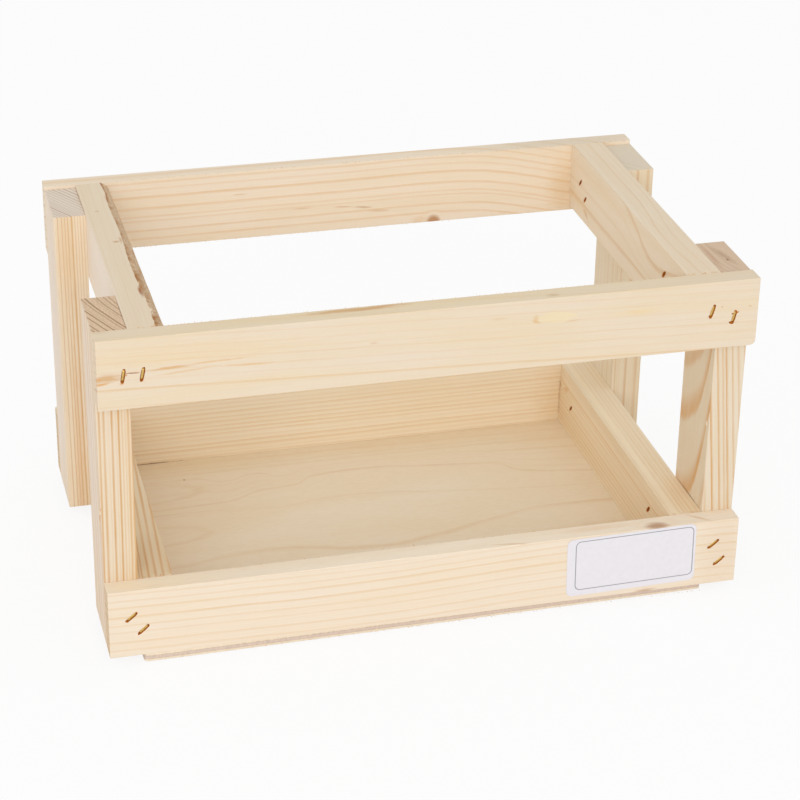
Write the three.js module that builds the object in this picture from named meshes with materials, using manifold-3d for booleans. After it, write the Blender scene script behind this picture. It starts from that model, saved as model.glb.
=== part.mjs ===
// A slatted wooden crate: four corner posts, eight rails, a plywood floor, the wire staples
// that hold them together and a blank label.
// Millimetres, +X along the crate, +Y to the rear, +Z up, origin under the middle of the floor.
import * as THREE from 'three';
import { mergeVertices } from 'three/addons/utils/BufferGeometryUtils.js';
import Module from 'manifold-3d';

const wasm = await Module();
wasm.setup();

// Whole crate: outer length and width, and the height of the posts and rails above the floor
const crateLength = 300;
const crateWidth = 186;
const frameHeight = 158.5;

// Corner posts: thickness along X, depth along Y, and how far each stops below the rails' tops
const postThickness = 15.2;
const postDepth = 35.7;
const postDrop = { front_left: 0.4, front_right: 1.1, rear_left: 1.5, rear_right: 2.1 };

// Long rails, on the outer faces of the posts
const frontRailThickness = 9.7;
const rearRailThickness = 9;
const railCornerRadius = 2.4; // the rounded lower right corner of the upper front rail

// Side rails, between the long rails and on the inner faces of the posts
const sideRailThickness = 16;

// Rail heights: the upper rear rail is sawn from wider stock than the other three upper rails
const upperRailHeight = 33.2;
const upperRearRailHeight = 35.8;
const lowerRailHeight = 34.2;

// Wane, the uneven bark edge along the inner top arris of the upper left side rail.
// Its shares run from the front end of the rail to the rear end.
const waneWidth = 4.6;
const waneDepth = 3.8;
const waneWidthShares = [0.8, 0.79, 0.76, 0.88, 0.98, 1, 0.96, 0.82, 0.78, 0.82, 0.95, 1, 0.88, 0.96];
const waneDepthShares = [0.5, 0.46, 0.55, 0.48, 0.6, 0.58, 0.66, 0.6, 0.7, 0.74, 0.86, 0.8, 0.94, 1];

// Plywood floor under the rails. It lies a little off the middle and a little askew.
const panelThickness = 4;
const panelEndSetback = 0.4; // from the outer faces of the side rails
const panelEdgeSetback = 1.2; // from the outer faces of the long rails
const panelSkew = 1.2; // how far its ends are turned, one to the front and one to the rear
const panelShift = -1; // along X
const panelCornerRadius = 2;

// Wire staples: outer width of the crown, the flat wire, its bend and its points
const crownWidth = 6;
const wireWidth = 1.25;
const wireThickness = 1;
const crownRadius = 0.7;
const pointLength = 1.2;
const stapleClearance = 0.3;

// How deep the crowns are driven below the face of the wood, and how far the points reach into
// the next piece: the post behind a rail, or the rail above the floor
const longRailSink = 0.4;
const longRailBite = 10.7;
const sideRailSink = 1.3;
const sideRailBite = 10.3;
const panelSink = 0.3;
const panelBite = 16.3;

// Staples at the ends of the long rails: distance from the crate's end as a share of the post's
// thickness, depth below the rail's top as a share of its height, and the crown's turn in degrees
const longRailShares = {
  upper_left: [{ along: 0.75, down: 0.51, turn: 80 }, { along: 1.3, down: 0.51, turn: 78 }],
  upper_right: [{ along: 1.44, down: 0.42, turn: 74 }, { along: 0.745, down: 0.535, turn: 77 }],
  lower_left: [{ along: 0.71, down: 0.39, turn: 40 }, { along: 1.05, down: 0.6, turn: 41 }],
  lower_right: [{ along: 0.77, down: 0.36, turn: 39 }, { along: 0.54, down: 0.64, turn: 39 }],
};

// Staples at the ends of the side rails: distance into the free depth of the post, as a share
// of it, and depth below the rail's top as a share of its height. All lean the same way.
const sideCrownTurn = -46; // degrees
const sideRailShares = {
  upper_front: [{ along: 0.84, down: 0.375 }, { along: 0.28, down: 0.66 }],
  upper_rear: [{ along: 0.06, down: 0.455 }, { along: 0.52, down: 0.635 }],
  lower_front: [{ along: 0.79, down: 0.375 }, { along: 0.26, down: 0.66 }],
  lower_rear: [{ along: 0.24, down: 0.53 }, { along: 0, down: 0.31 }],
};

// Staples of the floor: shares of the half span between the side rails, of the half span
// between the posts, and of a long rail's thickness from its outer face
const floorLongShares = [-0.84, -0.42, 0, 0.42, 0.84];
const floorSideShares = [-0.5, 0.5];
const floorLineShare = 0.6;

// Blank paper label on the lower front rail
const labelWidth = 63.8;
const labelTopMargin = 0.65;
const labelBottomMargin = 2.85;
const labelThickness = 0.15;
const labelCornerRadius = 3;
const labelEndInset = 52.9; // from the crate's right end to the middle of the label
const labelTurn = 1; // degrees

// Every cut runs this far past the face it opens
const overrun = 2;
const arcSegments = 4;

// Levels and faces that the pieces share
const halfLength = crateLength / 2;
const frameBottom = panelThickness;
const frameTop = frameBottom + frameHeight;
const frontFace = -crateWidth / 2;
const rearFace = crateWidth / 2;
const frontSeat = frontFace + frontRailThickness; // front faces of the front posts
const rearSeat = rearFace - rearRailThickness; // rear faces of the rear posts
const postInner = halfLength - postThickness;
const sideRailInner = postInner - sideRailThickness;

const crate = new THREE.Group();
const frame = new THREE.Group();
const base = new THREE.Group();
const fasteners = new THREE.Group();
crate.add(frame, base, fasteners);
const staples = [];

function degrees(angle) {
  return THREE.MathUtils.degToRad(angle);
}

function wood(color, roughness = 0.72) {
  return new THREE.MeshStandardMaterial({ color, roughness, metalness: 0 });
}

function brass() {
  return new THREE.MeshStandardMaterial({ color: 0xb8903f, roughness: 0.35, metalness: 1 });
}

// Turns a three.js geometry into a solid that can be cut, and back
function solidOf(geometry) {
  const bare = geometry.clone();
  bare.deleteAttribute('normal');
  bare.deleteAttribute('uv');
  const merged = mergeVertices(bare);
  const vertProperties = Float32Array.from(merged.attributes.position.array);
  const triVerts = Uint32Array.from(merged.index.array);
  return new wasm.Manifold(new wasm.Mesh({ numProp: 3, vertProperties, triVerts }));
}

function geometryOf(solid) {
  const mesh = solid.getMesh();
  const geometry = new THREE.BufferGeometry();
  geometry.setAttribute('position', new THREE.BufferAttribute(mesh.vertProperties, 3));
  geometry.setIndex(new THREE.BufferAttribute(mesh.triVerts, 1));
  geometry.computeVertexNormals();
  return geometry;
}

// Rectangle about the origin with four round corners
function roundedRectangle(width, height, radius) {
  const x = width / 2 - radius;
  const y = height / 2 - radius;
  const quarter = Math.PI / 2;
  const shape = new THREE.Shape();
  shape.absarc(x, y, radius, 0, quarter, false);
  shape.absarc(-x, y, radius, quarter, 2 * quarter, false);
  shape.absarc(-x, -y, radius, 2 * quarter, 3 * quarter, false);
  shape.absarc(x, -y, radius, 3 * quarter, 4 * quarter, false);
  return shape;
}

// Rectangle about the origin whose lower right corner is round, or square where the radius is zero
function railOutline(length, height, radius) {
  const x = length / 2;
  const y = height / 2;
  const shape = new THREE.Shape();
  shape.moveTo(x, y);
  shape.lineTo(-x, y);
  shape.lineTo(-x, -y);
  if (radius > 0) {
    shape.absarc(x - radius, radius - y, radius, 1.5 * Math.PI, 2 * Math.PI, false);
  } else {
    shape.lineTo(x, -y);
  }
  return shape;
}

function extrude(shape, depth) {
  return new THREE.ExtrudeGeometry(shape, { depth, bevelEnabled: false, curveSegments: arcSegments });
}

// Wire staple in its own frame: crown along X with its outer face at zero, legs down -Y
function stapleGeometry(legLength) {
  const outer = crownWidth / 2;
  const inner = outer - wireThickness;
  const shape = new THREE.Shape();
  shape.moveTo(-outer, pointLength - legLength);
  shape.lineTo(-inner, -legLength);
  shape.lineTo(-inner, -wireThickness);
  shape.lineTo(inner, -wireThickness);
  shape.lineTo(inner, -legLength);
  shape.lineTo(outer, pointLength - legLength);
  shape.lineTo(outer, -crownRadius);
  shape.absarc(outer - crownRadius, -crownRadius, crownRadius, 0, Math.PI / 2, false);
  shape.lineTo(crownRadius - outer, 0);
  shape.absarc(crownRadius - outer, -crownRadius, crownRadius, Math.PI / 2, Math.PI, false);
  return extrude(shape, wireWidth).translate(0, 0, -wireWidth / 2);
}

// The slot that the staple leaves in the wood, open above its crown
function slotGeometry(legLength, sink) {
  const outer = crownWidth / 2 + stapleClearance;
  const inner = crownWidth / 2 - wireThickness - stapleClearance;
  const bottom = -legLength - stapleClearance;
  const shape = new THREE.Shape();
  shape.moveTo(-outer, bottom);
  shape.lineTo(-inner, bottom);
  shape.lineTo(-inner, -wireThickness - stapleClearance);
  shape.lineTo(inner, -wireThickness - stapleClearance);
  shape.lineTo(inner, bottom);
  shape.lineTo(outer, bottom);
  shape.lineTo(outer, sink + overrun);
  shape.lineTo(-outer, sink + overrun);
  const width = wireWidth + 2 * stapleClearance;
  return extrude(shape, width).translate(0, 0, -width / 2);
}

// Drives a staple in at a point on a face: out is the face's normal, along the crown's direction.
// Its legs go through the board under the crown and bite into the piece behind it.
function drive(name, point, out, along, boardThickness, sink, bite) {
  const legLength = boardThickness - sink + bite;
  const place = new THREE.Matrix4().makeBasis(along, out, along.clone().cross(out));
  place.setPosition(point.clone().addScaledVector(out, -sink));
  const slot = solidOf(slotGeometry(legLength, sink).applyMatrix4(place));
  staples.push({ name, place, legLength, slot });
}

// Adds a board whose geometry lies about its own middle, with its staple slots cut
function addBoard(group, name, geometry, middle, material, turn = 0) {
  const place = new THREE.Matrix4().makeRotationZ(turn).setPosition(middle);
  let solid = solidOf(geometry.clone().applyMatrix4(place));
  for (const staple of staples) {
    solid = solid.subtract(staple.slot);
  }
  const mesh = new THREE.Mesh(geometryOf(solid).applyMatrix4(place.clone().invert()), material);
  mesh.name = name;
  mesh.position.copy(middle);
  mesh.rotation.z = turn;
  group.add(mesh);
}

// Two staples through each end of a long rail, into the post and the side rail behind it
function driveLongRail(rail, face, thickness, level, height) {
  const out = new THREE.Vector3(0, Math.sign(face), 0);
  const top = level === 'upper' ? frameTop : frameBottom + height;
  for (const side of ['left', 'right']) {
    const sign = side === 'left' ? -1 : 1;
    longRailShares[`${level}_${side}`].forEach((share, index) => {
      const x = sign * (halfLength - share.along * postThickness);
      const turn = degrees(share.turn);
      drive(
        `${rail}_${side}_staple_${index + 1}`,
        new THREE.Vector3(x, face, top - share.down * height),
        out,
        new THREE.Vector3(Math.cos(turn), 0, Math.sin(turn)),
        thickness,
        longRailSink,
        longRailBite,
      );
    });
  }
}

// Two staples through each end of a side rail into the post, clear of those in the post's end
function driveSideRail(rail, sign, level, height) {
  const top = level === 'upper' ? frameTop : frameBottom + height;
  const crownRoom = crownWidth / 2 + stapleClearance;
  const start = longRailBite + stapleClearance + crownRoom;
  const room = postDepth - start - crownRoom;
  const turn = degrees(sideCrownTurn);
  for (const end of ['front', 'rear']) {
    sideRailShares[`${level}_${end}`].forEach((share, index) => {
      const inset = start + share.along * room;
      const y = end === 'front' ? frontSeat + inset : rearSeat - inset;
      drive(
        `${rail}_${end}_staple_${index + 1}`,
        new THREE.Vector3(sign * sideRailInner, y, top - share.down * height),
        new THREE.Vector3(-sign, 0, 0),
        new THREE.Vector3(0, Math.cos(turn), Math.sin(turn)),
        sideRailThickness,
        sideRailSink,
        sideRailBite,
      );
    });
  }
}

// Staples from below through the floor into the lower rails
function driveFloor() {
  const down = new THREE.Vector3(0, 0, -1);
  const alongX = new THREE.Vector3(1, 0, 0);
  const alongY = new THREE.Vector3(0, 1, 0);
  const lines = {
    front: frontFace + floorLineShare * frontRailThickness,
    rear: rearFace - floorLineShare * rearRailThickness,
  };
  for (const [edge, y] of Object.entries(lines)) {
    floorLongShares.forEach((share, index) => {
      const point = new THREE.Vector3(share * sideRailInner, y, 0);
      drive(`floor_${edge}_staple_${index + 1}`, point, down, alongX, panelThickness, panelSink, panelBite);
    });
  }
  const midY = (frontSeat + rearSeat) / 2;
  const halfSpan = (rearSeat - frontSeat) / 2 - postDepth;
  for (const sign of [-1, 1]) {
    const x = sign * (postInner - sideRailThickness / 2);
    floorSideShares.forEach((share, index) => {
      const point = new THREE.Vector3(x, midY + share * halfSpan, 0);
      const edge = sign < 0 ? 'left' : 'right';
      drive(`floor_${edge}_staple_${index + 1}`, point, down, alongY, panelThickness, panelSink, panelBite);
    });
  }
}

function addPosts() {
  const colors = { front_left: 0xe6c9a2, front_right: 0xe3cba6, rear_left: 0xe4c69c, rear_right: 0xe2cba8 };
  for (const [corner, drop] of Object.entries(postDrop)) {
    const height = frameHeight - drop;
    const x = (corner.endsWith('left') ? -1 : 1) * (halfLength - postThickness / 2);
    const y = corner.startsWith('front') ? frontSeat + postDepth / 2 : rearSeat - postDepth / 2;
    const geometry = new THREE.BoxGeometry(postThickness, postDepth, height);
    const middle = new THREE.Vector3(x, y, frameBottom + height / 2);
    addBoard(frame, `post_${corner}`, geometry, middle, wood(colors[corner]));
  }
}

// A long rail is cut from its front outline, so that an end can have a rounded corner
function addLongRail(name, height, thickness, outerFace, middleZ, color, cornerRadius = 0) {
  const outline = railOutline(crateLength, height, cornerRadius);
  const geometry = extrude(outline, thickness).rotateX(Math.PI / 2).translate(0, thickness / 2, 0);
  const y = outerFace - Math.sign(outerFace) * thickness / 2;
  addBoard(frame, name, geometry, new THREE.Vector3(0, y, middleZ), wood(color));
}

function addLongRails() {
  const lowerZ = frameBottom + lowerRailHeight / 2;
  const frontZ = frameTop - upperRailHeight / 2;
  const rearZ = frameTop - upperRearRailHeight / 2;
  const front = frontRailThickness;
  const rear = rearRailThickness;
  addLongRail('upper_front_rail', upperRailHeight, front, frontFace, frontZ, 0xecdabc, railCornerRadius);
  addLongRail('lower_front_rail', lowerRailHeight, front, frontFace, lowerZ, 0xefdfc6);
  addLongRail('upper_rear_rail', upperRearRailHeight, rear, rearFace, rearZ, 0xe8cfa9);
  addLongRail('lower_rear_rail', lowerRailHeight, rear, rearFace, lowerZ, 0xdcc19a);
}

// Side rail whose inner top arris is bark: five-sided sections from the front end to the rear end
function wanedRail(thickness, length, height) {
  const x = thickness / 2;
  const z = height / 2;
  const last = waneWidthShares.length - 1;
  const positions = [];
  waneWidthShares.forEach((widthShare, index) => {
    const y = length * (index / last) - length / 2;
    const width = waneWidth * widthShare;
    const depth = waneDepth * waneDepthShares[index];
    positions.push(-x, y, -z, x, y, -z, x, y, z - depth, x - width, y, z, -x, y, z);
  });
  const sides = 5;
  const faces = [];
  for (let ring = 0; ring < last; ring += 1) {
    for (let side = 0; side < sides; side += 1) {
      const here = ring * sides + side;
      const next = ring * sides + (side + 1) % sides;
      faces.push(here, next + sides, next, here, here + sides, next + sides);
    }
  }
  for (let side = 1; side < sides - 1; side += 1) {
    const end = last * sides;
    faces.push(0, side, side + 1, end, end + side + 1, end + side);
  }
  const geometry = new THREE.BufferGeometry();
  geometry.setAttribute('position', new THREE.Float32BufferAttribute(positions, 3));
  geometry.setIndex(faces);
  return geometry;
}

function addSideRails() {
  const length = rearSeat - frontSeat;
  const y = (frontSeat + rearSeat) / 2;
  const x = postInner - sideRailThickness / 2;
  const upperZ = frameTop - upperRailHeight / 2;
  const lowerZ = frameBottom + lowerRailHeight / 2;
  const upper = new THREE.BoxGeometry(sideRailThickness, length, upperRailHeight);
  const lower = new THREE.BoxGeometry(sideRailThickness, length, lowerRailHeight);
  const waned = wanedRail(sideRailThickness, length, upperRailHeight);
  addBoard(frame, 'upper_left_side_rail', waned, new THREE.Vector3(-x, y, upperZ), wood(0xe7d5b4));
  addBoard(frame, 'upper_right_side_rail', upper, new THREE.Vector3(x, y, upperZ), wood(0xe3c6a4));
  addBoard(frame, 'lower_left_side_rail', lower.clone(), new THREE.Vector3(-x, y, lowerZ), wood(0xe2c79f));
  addBoard(frame, 'lower_right_side_rail', lower, new THREE.Vector3(x, y, lowerZ), wood(0xdcbe95));
}

function addFloor() {
  const length = crateLength - 2 * (postThickness + panelEndSetback);
  const width = crateWidth - 2 * panelEdgeSetback;
  const outline = roundedRectangle(length, width, panelCornerRadius);
  const geometry = extrude(outline, panelThickness).translate(0, 0, -panelThickness / 2);
  const middle = new THREE.Vector3(panelShift, 0, panelThickness / 2);
  const turn = Math.asin(panelSkew / (length / 2));
  addBoard(base, 'floor_panel', geometry, middle, wood(0xdcc39c, 0.6), turn);
}

function addLabel() {
  const height = lowerRailHeight - labelTopMargin - labelBottomMargin;
  const outline = roundedRectangle(labelWidth, height, labelCornerRadius);
  const geometry = extrude(outline, labelThickness).rotateX(Math.PI / 2);
  const paper = new THREE.MeshStandardMaterial({ color: 0xeeecf0, roughness: 0.45, metalness: 0 });
  const mesh = new THREE.Mesh(geometry, paper);
  mesh.name = 'label';
  mesh.position.set(halfLength - labelEndInset, frontFace, frameBottom + labelBottomMargin + height / 2);
  mesh.rotation.y = -degrees(labelTurn);
  frame.add(mesh);
}

function addStaples() {
  for (const staple of staples) {
    const mesh = new THREE.Mesh(stapleGeometry(staple.legLength), brass());
    mesh.name = staple.name;
    mesh.position.setFromMatrixPosition(staple.place);
    mesh.quaternion.setFromRotationMatrix(staple.place);
    fasteners.add(mesh);
  }
}

driveLongRail('upper_front_rail', frontFace, frontRailThickness, 'upper', upperRailHeight);
driveLongRail('lower_front_rail', frontFace, frontRailThickness, 'lower', lowerRailHeight);
driveLongRail('upper_rear_rail', rearFace, rearRailThickness, 'upper', upperRearRailHeight);
driveLongRail('lower_rear_rail', rearFace, rearRailThickness, 'lower', lowerRailHeight);
driveSideRail('upper_left_side_rail', -1, 'upper', upperRailHeight);
driveSideRail('upper_right_side_rail', 1, 'upper', upperRailHeight);
driveSideRail('lower_left_side_rail', -1, 'lower', lowerRailHeight);
driveSideRail('lower_right_side_rail', 1, 'lower', lowerRailHeight);
driveFloor();
addPosts();
addLongRails();
addSideRails();
addFloor();
addLabel();
addStaples();

export default crate;
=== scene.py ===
# A slatted beer crate of unfinished spruce: four posts, eight rails, a plywood floor,
# brass-coated staples and a blank paper label.
import math
from functools import partial
import bmesh
import bpy
from mathutils import Matrix, Vector, noise


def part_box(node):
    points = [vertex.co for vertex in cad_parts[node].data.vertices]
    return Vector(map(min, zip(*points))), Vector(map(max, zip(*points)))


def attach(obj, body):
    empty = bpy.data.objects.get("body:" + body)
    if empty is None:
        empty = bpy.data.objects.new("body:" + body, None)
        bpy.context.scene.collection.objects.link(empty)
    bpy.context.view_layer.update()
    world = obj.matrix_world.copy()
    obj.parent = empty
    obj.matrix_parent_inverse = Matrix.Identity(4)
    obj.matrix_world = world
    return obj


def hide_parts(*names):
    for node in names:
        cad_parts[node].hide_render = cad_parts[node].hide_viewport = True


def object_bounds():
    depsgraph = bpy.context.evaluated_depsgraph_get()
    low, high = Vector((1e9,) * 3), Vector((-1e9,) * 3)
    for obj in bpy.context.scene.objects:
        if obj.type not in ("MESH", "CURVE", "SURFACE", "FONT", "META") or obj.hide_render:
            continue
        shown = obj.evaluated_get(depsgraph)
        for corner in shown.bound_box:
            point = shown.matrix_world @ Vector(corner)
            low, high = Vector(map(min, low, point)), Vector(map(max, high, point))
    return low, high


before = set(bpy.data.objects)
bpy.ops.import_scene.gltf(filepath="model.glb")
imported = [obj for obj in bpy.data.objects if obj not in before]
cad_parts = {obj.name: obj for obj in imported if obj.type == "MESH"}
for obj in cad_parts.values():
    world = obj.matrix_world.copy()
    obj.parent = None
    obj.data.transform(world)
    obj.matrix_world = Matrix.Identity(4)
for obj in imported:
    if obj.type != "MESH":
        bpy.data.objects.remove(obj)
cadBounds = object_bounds()
mm = 0.001

# Camera: where the photograph was taken from, in metres, and its turns in radians
camera = dict(
    place=(-0.256116, -0.996849, 0.598888), pan=-0.25881, tilt=-0.4734, roll=-0.01562,
    focalPixels=2380.2, photoPixels=800, sensor=36.0)


def linear(hexColour):
    # sRGB hex to the linear values that the shaders work in
    parts = [int(hexColour[i:i + 2], 16) / 255 for i in (1, 3, 5)]
    return [p / 12.92 if p <= 0.04045 else ((p + 0.055) / 1.055) ** 2.4 for p in parts] + [1.0]


# The setting that picks what a kind of node does
variants = {"Math": "operation", "VectorMath": "operation", "MapRange": "interpolation_type",
    "Mix": "data_type", "Mapping": "vector_type", "TexNoise": "noise_dimensions",
    "TexWhiteNoise": "noise_dimensions"}


def addNode(tree, kind, inputs=(), variant=None, **settings):
    # kind: the node's type, less ShaderNode where it starts so. inputs: a list in socket order, or
    # a dictionary by socket name, of values, nodes or sockets.
    node = tree.nodes.new(kind if "Node" in kind else "ShaderNode" + kind)
    if variant:
        setattr(node, variants[kind], variant)
    for key, value in settings.items():
        setattr(node, key, value)
    live = [socket for socket in node.inputs if socket.enabled]
    if isinstance(inputs, dict):
        pairs = [(next(s for s in live if s.name == key), value) for key, value in inputs.items()]
    else:
        pairs = list(zip(live, inputs))
    for socket, value in pairs:
        if isinstance(value, bpy.types.Node):
            value = next(output for output in value.outputs if output.enabled)
        if isinstance(value, bpy.types.NodeSocket):
            tree.links.new(value, socket)
        else:
            socket.default_value = value
    return node


def newMaterial(name):
    material = bpy.data.materials.new(name)
    material.use_nodes = True
    material.node_tree.nodes.clear()
    return material, partial(addNode, material.node_tree)


def finishMaterial(add, colour, roughness, height, bumpMm, **sockets):
    # Constants go on the shader's own sockets, patterns come in by links
    inputs = {"Base Color": colour, "Roughness": roughness}
    inputs.update({key.replace("_", " "): value for key, value in sockets.items()})
    if height:
        inputs["Normal"] = add("Bump", {"Strength": 1.0, "Distance": bumpMm * mm, "Height": height})
    add("OutputMaterial", {"Surface": add("BsdfPrincipled", inputs)})


def tint(add, colour, toward, pattern, low, high, least=0.0, most=1.0, ease="LINEAR"):
    # One colour mixed into another, by a share that follows the pattern from low to high
    share = add("MapRange", [pattern, low, high, least, most], ease)
    return add("Mix", {"Factor": share, "A": colour, "B": toward}, "RGBA")


def multiplied(add, colour, shade):
    return add("Mix", {"Factor": 1.0, "A": colour, "B": shade}, "RGBA", blend_type="MULTIPLY")


def ellipse(add, spot, at, size, turn=(0, 0, 0)):
    # How far a point lies from the middle of an ellipse whose border is at 1
    local = add("Mapping", {"Vector": spot, "Location": at, "Scale": size, "Rotation": turn}, "TEXTURE")
    return add("VectorMath", [local], "LENGTH")


def plainSpot(add):
    # Object coordinates in millimetres
    coordinates = add("TexCoord")
    return add("VectorMath", {"Vector": coordinates.outputs["Object"], "Scale": 1 / mm}, "SCALE")


def boardSpot(add, origin, along, across, deep):
    # Object coordinates turned into the board's own millimetres: along, across and into the board
    turn = Matrix((along, across, deep))
    flip = -1 if turn.determinant() < 0 else 1
    turn = turn @ Matrix.Diagonal((flip, 1, 1))
    scale = Vector((flip, 1, 1)) / mm
    shift = -(turn @ Vector([s * o for s, o in zip(scale, origin)]))
    coordinates = add("TexCoord")
    spot = add("Mapping", {"Vector": coordinates.outputs["Object"], "Location": shift,
        "Rotation": turn.to_euler(), "Scale": scale}, "POINT")
    return spot, coordinates.outputs["Normal"]


def stretchedNoise(add, spot, lengths, detail, seed, roughness=0.5):
    # Noise whose features are about as long as lengths, in millimetres
    scaled = add("VectorMath", [spot, lengths], "DIVIDE")
    return add("TexNoise", {"Vector": scaled, "W": seed, "Scale": 1.0, "Detail": detail,
        "Roughness": roughness}, "4D")


def smoothCurve(add, value, points):
    # A given curve of (place, shift) points through the range that they span
    starts, shifts = zip(*points)
    lowest, span = min(shifts), max(max(shifts) - min(shifts), 1e-6)
    share = add("MapRange", [value, starts[0], starts[-1], 0.0, 1.0])
    node = add("FloatCurve", {"Value": share})
    curve = node.mapping.curves[0]
    while len(curve.points) < len(points):
        curve.points.new(0.5, 0.5)
    for point, (start, shift) in zip(curve.points, points):
        point.location = ((start - starts[0]) / (starts[-1] - starts[0]), (shift - lowest) / span)
    node.mapping.update()
    return add("Math", [node, span, lowest], "MULTIPLY_ADD")


def ringLines(add, ring, lines, before=1.0, after=0.55):
    # Latewood lines at chosen ring heights (mm, strength, width mm): slow rise, sharp fall. A colour
    # ramp holds few enough stops that the lines are shared out over several.
    total = None
    perRamp = 10
    for first in range(0, len(lines), perRamp):
        group = lines[first:first + perRamp]
        low = group[0][0] - 2 * group[0][2]
        high = group[-1][0] + 2 * group[-1][2]
        ramp = add("ValToRGB", {"Fac": add("MapRange", [ring, low, high, 0.0, 1.0])})
        ramp.color_ramp.interpolation = "EASE"
        stops = []
        for place, strength, width in group:
            last = stops[-1][0] if stops else low
            stops += [(max(place - before * width, last + 0.02), 0.0), (place, strength),
                (place + after * width, 0.0)]
        elements = ramp.color_ramp.elements
        for element, position in zip(elements, (0.0, 1.0)):
            element.position, element.color = position, (0, 0, 0, 1)
        for place, strength in stops:
            element = elements.new(min(max((place - low) / (high - low), 0.0), 1.0))
            element.color = (strength, strength, strength, 1)
        total = add("Math", [total, ramp], "MAXIMUM") if total else ramp
    return total


def fullMark(at, size, colour, strength, turn=0, core=0.15):
    # A mark with nothing left out: without a depth it lies on the board's seen face
    turns = turn if isinstance(turn, tuple) else (0, 0, turn)
    turns = [math.radians(t) for t in turns]
    return (*at, 0)[:3], (*size, 3)[:3], turns, linear(colour), strength, core


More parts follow.
